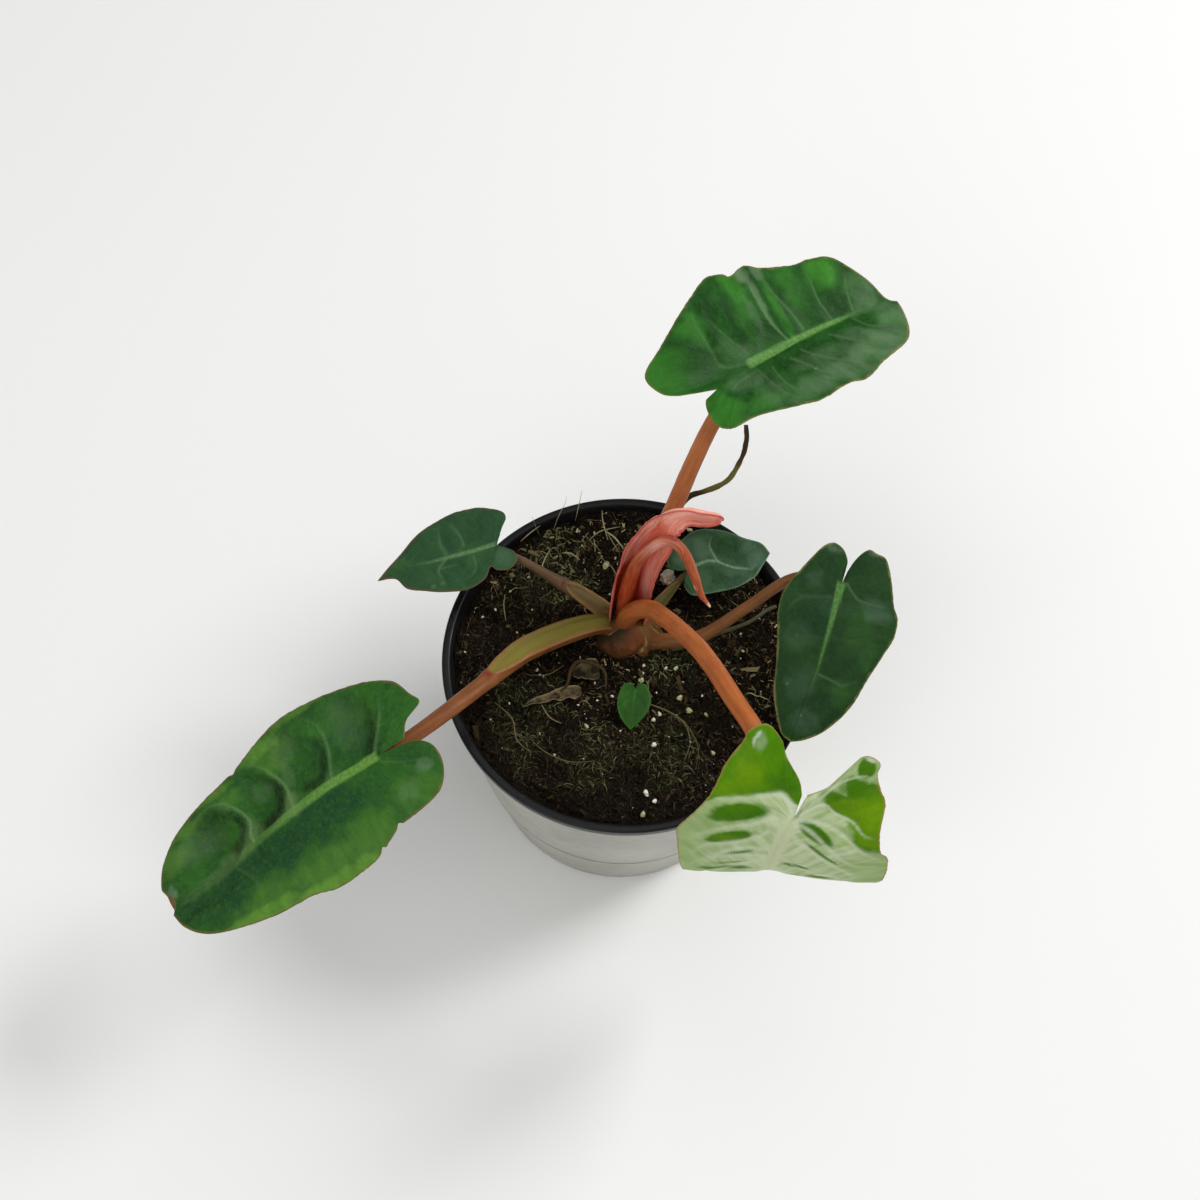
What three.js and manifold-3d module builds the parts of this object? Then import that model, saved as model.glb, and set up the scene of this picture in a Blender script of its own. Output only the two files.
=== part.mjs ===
// Potted philodendron billietiae, a young plant in a 12 cm nursery pot.
// Millimetres, +Z up. The origin is the centre of the pot's flat underside,
// and the plant is seen from the front along +Y with +X to the right.

import * as THREE from 'three';
import { mergeVertices } from 'three/addons/utils/BufferGeometryUtils.js';
import Module from 'manifold-3d';

const wasm = await Module();
wasm.setup();

// Driving dimensions

const CLEARANCE = 0.3;            // gap between pieces that touch
const BLADE_THICKNESS = 1.0;      // leaf blades, drawn thicker than the 0.4 mm of the real leaf
const SHEATH_THICKNESS = 0.9;
const DROOP_SPAN = 28;            // distance from the rib at which a blade's droop is given
const VEIN_SLANT = 0.12;          // how far the side veins lag behind, as a share of their length
const SCRAP_THICKNESS = 0.9;

const POT = {
  height: 90,
  rimRadius: 60,                  // outer edge of the flange
  flangeWidth: 3,
  lipHeight: 4.5,
  lipInset: 1.6,                  // from the flange's edge in to the wall under it
  bead: 0.7,                      // rounding of the flange
  baseRadius: 45.4,
  corner: 1.5,                    // rounding where the wall meets the base
  wall: 1.3,
  stepHeight: 33,                 // moulded step that runs round the wall
  stepDepth: 0.8,
  holes: 6,
  holeRadius: 4,
  holeCircle: 33,
  segments: 44,
};

const SOIL = {
  level: 84,                      // mean height of the surface
  rings: 9,
  segments: 34,
  lump: 1.5,                      // height of the larger lumps
  crumb: 0.5,
  slack: 0.15,                    // room beside the wall over the clearance, as both are faceted
};

const CROWN = {
  x: 1,
  y: 10,
  top: 95.5,
  radius: 8.5,
  root: 68,
  // swollen bases of old leaves: across and back from the middle, height, size
  bases: [[-6.5, -2.5, 84, 4.2], [5.5, -3.5, 84, 4.6], [8.5, 1.5, 83, 3.4], [-3, 4.5, 84, 4.2]],
};

// Leaf blades. Each outline is drawn flat, in millimetres from where the rib starts:
// the first number runs along the rib to the tip, the second is the distance out from it.
// Both sides start beside the notch at the stalk, go round the lobe and end at the tip.
// A dish is a round hollow: its middle along and to the left, its two radii and its depth.

const BLADES = {
  leaf_left: {
    seat: [-74.7, -46.1, 112],
    heading: -151,
    slope: [[-30, -14], [0, -20], [83, -29]],
    skew: 4.5,
    length: 83,
    fan: 0.27,
    left: [[-9, 1], [-14, 3], [-17, 7], [-17, 13], [-13, 19], [-5, 21.5], [4, 23], [13, 27], [21, 28],
      [30, 28], [38, 26], [52, 25], [66, 21.5], [75, 17.5], [80.5, 12], [82.6, 7], [83, 4.5]],
    right: [[-10, 0.5], [-13, 5], [-19, 8], [-17.5, 12], [-14, 19], [-4, 24.5], [11, 28.5], [25, 30],
      [36, 27], [45, 23], [53.5, 21], [62.5, 19], [72, 15.5], [79, 10], [82.5, 4], [83.2, -1], [83, -4.5]],
    fold: [0.1, 0.14],
    droop: [0.2, 0.22],
    pillow: { height: [0.7, 0.5], count: 4.6 },
    dishes: [[8, -14, 12, 13, 3.2], [25, -12, 10, 10, 3.2], [42.5, -8.5, 10, 9.5, 3],
      [62, -4.5, 13, 10, 2.4]],
    wave: { height: [0.8, 0.6], count: 3 },
    rays: 29,
    steps: 5,
    colour: 0x2f6b2a,
  },
  leaf_back: {
    seat: [34.5, 73.5, 152],
    heading: 30,
    slope: [[-35, 2], [0, -3], [58.6, -9]],
    bow: 1.7,
    skew: 2.6,
    length: 58.6,
    fan: 0.42,
    left: [[-12.5, -4.5], [-24, -0.5], [-30, 3], [-31.5, 10], [-22.5, 16.5], [-15, 21.5], [-7, 26.5],
      [1.5, 31.5], [8, 31.5], [10, 30], [15, 31], [19, 28], [29, 25.5], [37, 26], [45, 23.5],
      [51.3, 13], [54.8, 5], [58.6, 2.6]],
    right: [[-14, 6], [-19, 6.5], [-21.5, 12.5], [-21.5, 18.5], [-18, 21.5], [-9.5, 20.5], [3.5, 22.5],
      [11.5, 24.5], [21.5, 23], [28, 23.5], [37, 19.5], [47.6, 16], [52.6, 11], [57.2, 1.5], [58.6, -2.6]],
    fold: [0.3, 0.35],
    droop: [0.1, 0.1],
    pillow: { height: [1.1, 0.9], count: 5 },
    wave: { height: [1.4, 0.7], count: 3.5 },
    rays: 25,
    steps: 4,
    colour: 0x1f5426,
  },
  leaf_front: {
    seat: [47.9, -71.7, 140],
    heading: -114,
    roll: -12,
    slope: [[-40, -20], [0, -43], [12, -65], [26, -110], [42, -116], [84, -102]],
    length: 84,
    fan: 0.42,
    left: [[-8.6, 1], [-13, 5.5], [-20.3, 9.3], [-24, 10.5], [-25.7, 13], [-25, 16.3], [-21.5, 17],
      [-17.3, 20], [-13.8, 22.8], [-5, 24.5], [1.2, 27], [4.4, 30], [14, 31.5], [28, 30], [46, 24.5],
      [64, 14.5], [78, 5], [84, 0]],
    right: [[-8, 0.5], [-12, 3], [-17, 9], [-21, 12.5], [-23.5, 18], [-20.5, 22], [-17, 22.5],
      [-10, 24.5], [-3, 25], [1, 26], [6.5, 29], [10, 30.5], [13.5, 29], [21, 26.5], [34, 24.5], [50, 20],
      [66, 12.5], [78, 5], [84, 0]],
    fold: [0, 0.3],
    droop: [0.1, 0.1],
    pillow: { height: [0.9, 0.9], count: 7 },
    wave: { height: [1.2, 0.7], count: 4 },
    rays: 29,
    steps: 4,
    colour: 0x5b9a2c,
  },
  leaf_right: {
    seat: [66.7, 14.3, 121],
    heading: -107.5,
    slope: [[-15, -23], [0, -25], [52.5, -28]],
    bow: 1.2,
    length: 52.5,
    fan: 0.4,
    left: [[-4, 0.5], [-7.5, 1.5], [-10.5, 3], [-12.5, 5], [-12, 7.5], [-11, 11], [-5, 14.5], [2, 17.5],
      [6, 20], [12, 20.5], [20, 18.5], [27.5, 16.5], [34.5, 15], [40.5, 12.5], [46.5, 8.5],
      [50.5, 4], [52.5, 0]],
    right: [[-4, 0.3], [-7, 0.4], [-10, 2.5], [-11.2, 5], [-11, 7], [-8.5, 9.5], [-0.5, 13.5], [7, 16.5],
      [14, 16.5], [21, 14.5], [30, 12], [39, 10], [46.5, 6.5], [51, 3.5], [52.5, 0]],
    fold: [0.1, 0.12],
    droop: [0.12, 0.12],
    pillow: { height: [0.5, 0.5], count: 5 },
    wave: { height: [0.4, 0.3], count: 3 },
    rays: 20,
    steps: 3,
    colour: 0x1d4a26,
  },
  leaf_upper_left: {
    seat: [-43.5, 30.2, 108],
    heading: -166.5,
    slope: [[-10, -12], [0, -14], [41, -16]],
    bow: -3,
    length: 41,
    fan: 0.36,
    left: [[-2, 2], [-5, 6], [-4.5, 9.5], [-1, 9.5], [3, 8.5], [5.5, 11.5], [12, 13], [20, 11.5],
      [25.5, 9.5], [31.5, 6.5], [35, 1.5], [41, 0]],
    right: [[-2, 3], [-3, 5.5], [-5, 8], [-4.5, 10.5], [-0.5, 13], [4, 15], [11, 15.5], [17.5, 14],
      [25, 11.5], [32, 6.5], [37, 3], [41, 0]],
    fold: [0.12, 0.12],
    droop: [0.12, 0.12],
    pillow: { height: [0.35, 0.35], count: 5 },
    wave: { height: [0.4, 0.4], count: 3 },
    rays: 18,
    steps: 3,
    colour: 0x1f4a2b,
  },
  leaf_rear_low: {
    seat: [19.3, 29.9, 96],
    heading: 15.5,
    slope: [[-10, 3], [0, 1], [28, -2]],
    length: 28.5,
    fan: 0.36,
    left: [[-2.5, 0.5], [-5.5, 2], [-5.5, 5.5], [-3, 8.5], [1, 11], [5, 13], [10, 13], [16.5, 10.5],
      [21.5, 7], [26.5, 4], [28.5, 0]],
    right: [[-1, 2.5], [-2.5, 5.5], [-1, 9.5], [3.5, 10.5], [13, 10.5], [20.5, 8], [24.5, 4.5], [28.5, 0]],
    fold: [0.1, 0.1],
    droop: [0.12, 0.12],
    pillow: { height: [0.3, 0.3], count: 4 },
    wave: { height: [0.3, 0.3], count: 2 },
    rays: 15,
    steps: 3,
    colour: 0x33503f,
  },
  seedling_leaf: {
    seat: [3.3, -11.5, 91],
    heading: -95,
    slope: [[-4, -18], [0, -20], [13, -26]],
    length: 13.3,
    fan: 0.4,
    left: [[-2, 1], [-1.5, 3.5], [3, 5.5], [8, 4.2], [13.3, 0]],
    right: [[-2, 1.2], [-0.8, 4], [4.5, 5.3], [9.5, 3.7], [13.3, 0]],
    fold: [0.18, 0.18],
    droop: [0.1, 0.1],
    pillow: { height: [0, 0], count: 1 },
    wave: { height: [0, 0], count: 1 },
    rays: 10,
    steps: 2,
    colour: 0x3f8a35,
  },
};

// Stalks. A route runs from inside the crown to under the blade's seat, and the
// radii are given from the foot to the tip, evenly spaced along it.

const STALKS = {
  petiole_front: {
    route: [[-0.5, 11, 88], [0.5, 11, 99], [4.5, 8.5, 109], [10.1, 3.5, 115.5], [21.5, -16.4, 133],
      [31.1, -37.1, 143.5], [38, -50, 145]],
    under: 'leaf_front',
    radii: [2.9, 2.9, 2.9, 2.9, 2.9, 2.6],
    steps: 16,
    colour: 0xa8562c,
  },
  petiole_left: {
    route: [[-1, 12, 87], [-7.5, 11.5, 91], [-14.6, 8.6, 93.7], [-23.5, 3.2, 97], [-32.2, -3.5, 100.5],
      [-39, -11, 103.3], [-45.5, -18.8, 105.8], [-60.5, -34.7, 110]],
    under: 'leaf_left',
    radii: [3.2, 3.7, 4, 4, 3.6, 3, 2.8, 2.7, 2.4],
    flatten: 0.75,
    steps: 17,
    colour: 0x9a5c34,
  },
  petiole_back: {
    route: [[1, 15, 84], [3.2, 25, 92], [8.8, 34, 107], [13.9, 41.9, 118], [19.1, 50.8, 131],
      [25.5, 60.5, 143]],
    under: 'leaf_back',
    radii: [3.2, 3, 2.9, 2.8, 2.6],
    steps: 12,
    colour: 0xa3552e,
  },
  petiole_right: {
    route: [[4, 9, 85], [12, 6, 91], [23.8, 5.3, 97], [37.5, 11.5, 106], [53, 19.5, 113.5]],
    under: 'leaf_right',
    radii: [2.7, 2.3, 2, 1.8, 1.7],
    steps: 11,
    colour: 0x8c5533,
  },
  petiole_upper_left: {
    route: [[-1, 14, 85], [-8, 17, 90], [-15, 19.5, 95], [-22.4, 21.8, 99.5], [-34, 26, 105]],
    under: 'leaf_upper_left',
    radii: [2.6, 2.6, 2.4, 1.7, 1.4],
    steps: 9,
    colour: 0x7c4a30,
  },
  petiole_rear_low: {
    route: [[4, 14, 84], [9.8, 20, 88.5], [15, 25.5, 92]],
    under: 'leaf_rear_low',
    radii: [2.4, 2, 1.5],
    steps: 7,
    colour: 0x6d6a3c,
  },
  seedling_stalk: {
    route: [[3.6, -7, 70], [3.7, -8, 78], [3.6, -9.5, 85]],
    under: 'seedling_leaf',
    radii: [0.8, 0.8, 0.7],
    steps: 8,
    colour: 0x5d8a3c,
  },
  petiole_dried: {
    route: [[5, 16, 82], [7.5, 28, 87], [11, 41, 95], [15, 48.5, 101.5], [19.1, 52, 106], [24.4, 52.2, 110],
      [30, 53.1, 114], [32.7, 54.9, 117], [35.6, 59.8, 121], [36.5, 64, 124], [36.1, 67.5, 127]],
    radii: [1.6, 1.2, 1, 0.9, 0.8],
    steps: 18,
    colour: 0x6a5138,
  },
  aerial_root: {
    route: [[8.5, 6.5, 82], [17, 5.5, 87], [29, 9.5, 90], [39.5, 13.5, 91.5], [46, 18, 92.5],
      [49, 19.5, 92.5]],
    radii: [0.9, 0.75, 0.65, 0.6],
    steps: 11,
    colour: 0x6b6a48,
  },
};

// Small functions

const radians = (degrees) => degrees * Math.PI / 180;
const mix = (a, b, f) => a + (b - a) * f;

// Value at x of the straight-line graph through the pairs
function graph(pairs, x) {
  for (let k = 1; k < pairs.length; k += 1) {
    const [x0, y0] = pairs[k - 1];
    const [x1, y1] = pairs[k];
    if (x <= x1 || k === pairs.length - 1) {
      return mix(y0, y1, Math.min(1, Math.max(0, (x - x0) / (x1 - x0))));
    }
  }
  return pairs[0][1];
}

// Value at f (0 to 1) of evenly spaced values
function along(values, f) {
  const last = values.length - 1;
  return graph(values.map((value, k) => [k / last, value]), f);
}

// A closed surface from shared points, without the faces that have shrunk to a line
function closedGeometry(positions, faces) {
  const raw = new THREE.BufferGeometry();
  raw.setAttribute('position', new THREE.Float32BufferAttribute(positions, 3));
  raw.setIndex(faces);
  const merged = mergeVertices(raw, 1e-4);
  const index = merged.getIndex().array;
  const kept = [];
  for (let k = 0; k < index.length; k += 3) {
    const [a, b, c] = [index[k], index[k + 1], index[k + 2]];
    if (a !== b && b !== c && c !== a) kept.push(a, b, c);
  }
  merged.setIndex(kept);
  return merged;
}

// A thick sheet: its middle is a grid of points, and each offset points to its upper face.
// Both faces are split into triangles the same way.
function thickSheet(points, offsets, thickness) {
  const rows = points.length;
  const columns = points[0].length;
  const positions = [];
  for (const side of [0.5, -0.5]) {
    for (let i = 0; i < rows; i += 1) {
      for (let j = 0; j < columns; j += 1) {
        const p = points[i][j].clone().addScaledVector(offsets[i][j], side * thickness);
        positions.push(p.x, p.y, p.z);
      }
    }
  }
  const upper = (i, j) => i * columns + j;
  const lower = (i, j) => rows * columns + upper(i, j);
  const faces = [];
  for (let i = 0; i < rows - 1; i += 1) {
    for (let j = 0; j < columns - 1; j += 1) {
      faces.push(upper(i, j), upper(i + 1, j), upper(i + 1, j + 1));
      faces.push(upper(i, j), upper(i + 1, j + 1), upper(i, j + 1));
      faces.push(lower(i, j), lower(i + 1, j + 1), lower(i + 1, j));
      faces.push(lower(i, j), lower(i, j + 1), lower(i + 1, j + 1));
    }
  }
  const wall = (i0, j0, i1, j1) => {
    faces.push(upper(i0, j0), upper(i1, j1), lower(i1, j1));
    faces.push(upper(i0, j0), lower(i1, j1), lower(i0, j0));
  };
  for (let i = 0; i < rows - 1; i += 1) {
    wall(i + 1, 0, i, 0);
    wall(i, columns - 1, i + 1, columns - 1);
  }
  for (let j = 0; j < columns - 1; j += 1) {
    wall(0, j, 0, j + 1);
    wall(rows - 1, j + 1, rows - 1, j);
  }
  return closedGeometry(positions, faces);
}

function toSolid(geometry) {
  const bare = new THREE.BufferGeometry();
  bare.setAttribute('position', geometry.getAttribute('position'));
  bare.setIndex(geometry.getIndex());
  const merged = mergeVertices(bare, 1e-4);
  return new wasm.Manifold(new wasm.Mesh({
    numProp: 3,
    vertProperties: new Float32Array(merged.getAttribute('position').array),
    triVerts: new Uint32Array(merged.getIndex().array),
  }));
}

function toGeometry(solid) {
  const mesh = solid.getMesh();
  const geometry = new THREE.BufferGeometry();
  geometry.setAttribute('position', new THREE.BufferAttribute(mesh.vertProperties, 3));
  geometry.setIndex(new THREE.BufferAttribute(mesh.triVerts, 1));
  return geometry;
}

// What is left of a solid after cutting others from it, without loose crumbs
function cutClear(solid, cutters) {
  let left = solid;
  for (const cutter of cutters) left = left.subtract(cutter);
  const bodies = left.decompose();
  bodies.sort((a, b) => b.volume() - a.volume());
  return bodies[0];
}

// Pot: one thin moulded shell with a turned-out flange, a step in its wall and drain holes

function potGeometry() {
  const { height, rimRadius, flangeWidth, lipHeight, lipInset, bead } = POT;
  const { baseRadius, corner, wall, stepHeight, stepDepth } = POT;
  const lipWall = rimRadius - lipInset;
  const below = height - lipHeight;
  const radiusAt = (z) => mix(baseRadius, lipWall, z / below);
  const profile = [
    [0, 0],
    [baseRadius - corner, 0],
    [baseRadius, corner],
    [radiusAt(stepHeight - 1), stepHeight - 1],
    [radiusAt(stepHeight) + stepDepth, stepHeight],
    [lipWall, below],
    [rimRadius - bead, below],
    [rimRadius, height - 2 * bead],
    [rimRadius - bead, height],
    [rimRadius - flangeWidth + bead, height],
    [rimRadius - flangeWidth, height - bead],
    [lipWall - wall, below - 2],
    [radiusAt(stepHeight) + stepDepth - wall, stepHeight + 1],
    [radiusAt(stepHeight - 1) - wall, stepHeight - 0.5],
    [baseRadius - wall, wall + corner],
    [baseRadius - wall - corner, wall],
    [0, wall],
  ].map(([r, z]) => new THREE.Vector2(r, z));
  const shell = new THREE.LatheGeometry(profile, POT.segments).rotateX(Math.PI / 2);
  const drill = new THREE.CylinderGeometry(POT.holeRadius, POT.holeRadius, 4 * wall, 16);
  drill.rotateX(Math.PI / 2);
  let solid = toSolid(shell);
  for (let k = 0; k < POT.holes; k += 1) {
    const angle = 2 * Math.PI * k / POT.holes;
    const [x, y] = [POT.holeCircle * Math.cos(angle), POT.holeCircle * Math.sin(angle)];
    solid = solid.subtract(toSolid(drill.clone().translate(x, y, 0)));
  }
  return toGeometry(solid);
}

// Soil: fills the pot, with a lumpy top

function soilHeight(x, y) {
  const lumps = Math.sin(x / 9 + 1) * Math.cos(y / 8 - 0.6) + 0.6 * Math.sin((x + 2 * y) / 11);
  const crumbs = Math.sin(x / 2.7 + 2 * Math.sin(y / 6)) * Math.cos(y / 3.1 + Math.sin(x / 5));
  return SOIL.level + SOIL.lump * lumps + SOIL.crumb * crumbs;
}

function soilGeometry() {
  const { baseRadius, corner, rimRadius, lipInset, wall, height, lipHeight, stepHeight, stepDepth } = POT;
  const floor = wall + CLEARANCE;
  const inset = wall + CLEARANCE + SOIL.slack;
  const wallAt = (z) => mix(baseRadius, rimRadius - lipInset, z / (height - lipHeight));
  const sides = [
    [baseRadius - inset - corner, floor],
    [baseRadius - inset, floor + corner],
    [wallAt(stepHeight - 2) - inset, stepHeight - 2],
    [wallAt(stepHeight) - inset + stepDepth - SOIL.slack, stepHeight + 2],
  ];
  const topRadius = wallAt(SOIL.level) - inset - CLEARANCE;
  const positions = [0, 0, floor];
  const faces = [];
  const rings = sides.map(([r, z]) => () => [r, z]);
  for (let k = SOIL.rings; k >= 1; k -= 1) {
    rings.push((angle) => {
      const r = topRadius * k / SOIL.rings;
      return [r, soilHeight(r * Math.cos(angle), r * Math.sin(angle))];
    });
  }
  const n = SOIL.segments;
  for (const ring of rings) {
    for (let s = 0; s < n; s += 1) {
      const angle = 2 * Math.PI * s / n;
      const [r, z] = ring(angle);
      positions.push(r * Math.cos(angle), r * Math.sin(angle), z);
    }
  }
  const top = positions.length / 3;
  positions.push(0, 0, soilHeight(0, 0));
  const at = (ring, s) => 1 + ring * n + (s % n);
  for (let s = 0; s < n; s += 1) {
    faces.push(0, at(0, s + 1), at(0, s));
    for (let k = 0; k < rings.length - 1; k += 1) {
      faces.push(at(k, s), at(k, s + 1), at(k + 1, s + 1));
      faces.push(at(k, s), at(k + 1, s + 1), at(k + 1, s));
    }
    faces.push(at(rings.length - 1, s), at(rings.length - 1, s + 1), top);
  }
  return closedGeometry(positions, faces);
}

// Crown: the short stem, with the swollen bases of old leaf sheaths round it

function crownSolid(grow) {
  const { x, y, top, radius, root, bases } = CROWN;
  const profile = [
    [0, root - grow],
    [4 + grow, root - grow],
    [6 + grow, root + 8],
    [radius - 1.5 + grow, top - 14],
    [radius - 0.8 + grow, top - 8],
    [radius - 2.5 + grow, top - 2.5],
    [3 + grow, top - 0.4 + grow],
    [0, top + grow],
  ].map(([r, z]) => new THREE.Vector2(r, z));
  const stem = new THREE.LatheGeometry(profile, 14).rotateX(Math.PI / 2).scale(1.05, 0.85, 1);
  let solid = toSolid(stem.translate(x, y, 0));
  for (const [dx, dy, z, size] of bases) {
    const swelling = new THREE.SphereGeometry(size + grow, 9, 6).rotateX(Math.PI / 2).scale(1, 0.8, 1.5);
    solid = solid.add(toSolid(swelling.translate(x + dx, y + dy, z)));
  }
  return solid;
}

// Leaf blades

// Where the rib has got to, forward and up, at each millimetre along it
function ribGraph(slope) {
  const low = -40;
  const high = 90;
  const forward = [];
  const rise = [];
  let x = 0;
  let z = 0;
  for (let u = 0; u <= high; u += 1) {
    forward.push([u, x]);
    rise.push([u, z]);
    x += Math.cos(radians(graph(slope, u + 0.5)));
    z += Math.sin(radians(graph(slope, u + 0.5)));
  }
  x = 0;
  z = 0;
  for (let u = -1; u >= low; u -= 1) {
    x -= Math.cos(radians(graph(slope, u + 0.5)));
    z -= Math.sin(radians(graph(slope, u + 0.5)));
    forward.unshift([u, x]);
    rise.unshift([u, z]);
  }
  return { forward, rise };
}

// Takes a point of the flat blade, at height h over it, to its place on the bent leaf
function placer(blade) {
  const { forward, rise } = ribGraph(blade.slope);
  const ahead = new THREE.Vector3(Math.cos(radians(blade.heading)), Math.sin(radians(blade.heading)), 0);
  const left = new THREE.Vector3(-ahead.y, ahead.x, 0);
  const seat = new THREE.Vector3(...blade.seat);
  const roll = radians(blade.roll ?? 0);
  return (u, v, h) => {
    const slope = radians(graph(blade.slope, u));
    const across = v * Math.cos(roll) - h * Math.sin(roll);
    const over = v * Math.sin(roll) + h * Math.cos(roll);
    const p = seat.clone();
    p.addScaledVector(ahead, graph(forward, u) - over * Math.sin(slope));
    p.addScaledVector(left, across);
    p.z += graph(rise, u) + over * Math.cos(slope);
    return p;
  };
}

// A point of the margin: a smooth curve through the outline's points
function marginPoint(outline, t) {
  return new THREE.SplineCurve(outline.map(([u, v]) => new THREE.Vector2(u, v))).getPoint(t);
}

// How deep a blade's dishes are at a point: round bowls, steeper on the side towards the stalk
function dishDepth(dishes, u, v) {
  let depth = 0;
  for (const [middleU, middleV, lengthwise, sideways, deep] of dishes) {
    const x = (u - middleU) / lengthwise;
    const y = (v - middleV) / sideways;
    depth += deep * Math.max(0, 1 - x * x - y * y) * (1 - 0.5 * x);
  }
  return depth;
}

// Height of the blade over its flat form: it folds up from the rib, droops outwards,
// puffs up between the side veins, less towards the tip, and waves at its margin
function relief(blade, side, g, t, r, out) {
  const s = side > 0 ? 0 : 1;
  const cell = g * blade.pillow.count;
  const lengthwise = Math.sin(Math.PI * (cell - Math.floor(cell))) ** 0.7 * Math.min(1, 6 * (1 - g));
  const swell = lengthwise * Math.sin(Math.PI * Math.min(1, r * 1.08)) ** 0.8;
  const wave = Math.sin(2 * Math.PI * (blade.wave.count * t + 0.3 * s)) * r ** 3 * Math.sin(Math.PI * t);
  return blade.fold[s] * out - blade.droop[s] * out * out / DROOP_SPAN
    + blade.pillow.height[s] * swell + blade.wave.height[s] * wave;
}

function bladeGrid(blade) {
  const place = placer(blade);
  const points = [];
  const offsets = [];
  for (let i = 0; i <= blade.rays; i += 1) {
    const t = i / blade.rays;
    const g = Math.max(0, (t - blade.fan) / (1 - blade.fan)) ** 0.9;
    const ribV = (blade.bow ?? 0) * Math.sin(Math.PI * g) + (blade.skew ?? 0) * g;
    const row = [];
    const up = [];
    for (let j = -blade.steps; j <= blade.steps; j += 1) {
      const side = j >= 0 ? 1 : -1;
      const r = Math.abs(j) / blade.steps;
      const edge = marginPoint(side > 0 ? blade.left : blade.right, t);
      const baseU = g * blade.length;
      const reach = Math.hypot(edge.x - baseU, edge.y - side * ribV);
      const lag = VEIN_SLANT * Math.min(1, 3 * g) * 4 * r * (1 - r) * reach;
      const u = mix(baseU, edge.x, r) - lag;
      const v = side * mix(side * ribV, edge.y, r);
      const h = relief(blade, side, g, t, r, edge.y * r) - dishDepth(blade.dishes ?? [], u, v);
      const p = place(u, v, h);
      row.push(p);
      up.push(place(u, v, h + 1).sub(p));
    }
    points.push(row);
    offsets.push(up);
  }
  return { points, offsets };
}

function bladeGeometry(blade, grow) {
  const { points, offsets } = bladeGrid(blade);
  return thickSheet(points, offsets, BLADE_THICKNESS + 2 * grow);
}

// Stalks

function stalkCurve(stalk) {
  const points = stalk.route.map((p) => new THREE.Vector3(...p));
  if (stalk.under) {
    const blade = BLADES[stalk.under];
    const tip = stalk.radii[stalk.radii.length - 1];
    points.push(placer(blade)(Math.min(2, blade.length / 12), 0, -0.8 * tip - BLADE_THICKNESS / 2));
  }
  return new THREE.CatmullRomCurve3(points, false, 'centripetal');
}

// A round stalk with its own radius at each step of the way, given by shrinking an even tube
function stalkGeometry(stalk, grow) {
  const curve = stalkCurve(stalk);
  const sides = 8;
  const flatten = stalk.flatten ?? 1;
  const corners = [];
  for (let k = 0; k < sides; k += 1) {
    const angle = 2 * Math.PI * k / sides;
    corners.push(new THREE.Vector2(Math.cos(angle), Math.sin(angle)));
  }
  const tube = new THREE.ExtrudeGeometry(new THREE.Shape(corners), {
    steps: stalk.steps,
    bevelEnabled: false,
    extrudePath: curve,
  });
  tube.deleteAttribute('normal');
  tube.deleteAttribute('uv');
  const merged = mergeVertices(tube, 1e-4);
  const centres = curve.getSpacedPoints(stalk.steps);
  const { tangents } = curve.computeFrenetFrames(stalk.steps, false);
  const position = merged.getAttribute('position');
  const p = new THREE.Vector3();
  for (let k = 0; k < position.count; k += 1) {
    p.fromBufferAttribute(position, k);
    let ring = 0;
    let nearest = Infinity;
    centres.forEach((centre, s) => {
      const arm = p.clone().sub(centre);
      const miss = Math.abs(arm.dot(tangents[s])) + Math.abs(arm.length() - 1);
      if (miss < nearest) {
        nearest = miss;
        ring = s;
      }
    });
    const arm = p.clone().sub(centres[ring]);
    const radius = along(stalk.radii, ring / stalk.steps) + grow;
    const level = new THREE.Vector3(0, 0, 1);
    level.addScaledVector(tangents[ring], -level.dot(tangents[ring])).normalize();
    const lift = arm.dot(level);
    arm.multiplyScalar(radius).addScaledVector(level, lift * radius * (flatten - 1));
    p.copy(centres[ring]).add(arm);
    position.setXYZ(k, p.x, p.y, p.z);
  }
  return merged;
}

// Pink sheath of the new leaf: a tall open trough that rises from the crown and flops
// over at its top. Its width, how far it wraps round and its way are given from foot to tip.

const PINK_SHEATH = {
  route: [[0, 14.5, 86], [0.6, 14.3, 96], [1.2, 15.6, 108], [3.2, 16.1, 124], [6.6, 16.4, 138],
    [10.4, 17, 148.5], [15.4, 18, 152], [21.3, 19, 150], [27, 20.6, 146]],
  halfWidth: [5.8, 6.2, 6, 5.7, 5.5, 5.2, 4.2, 2.6, 2.2],
  wrap: [125, 120, 112, 106, 100, 95, 95, 100, 100],
  rows: 16,
  columns: 8,
  facing: new THREE.Vector3(-0.15, -1, 0.35),
  colour: 0xdb7a6c,
};

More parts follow.
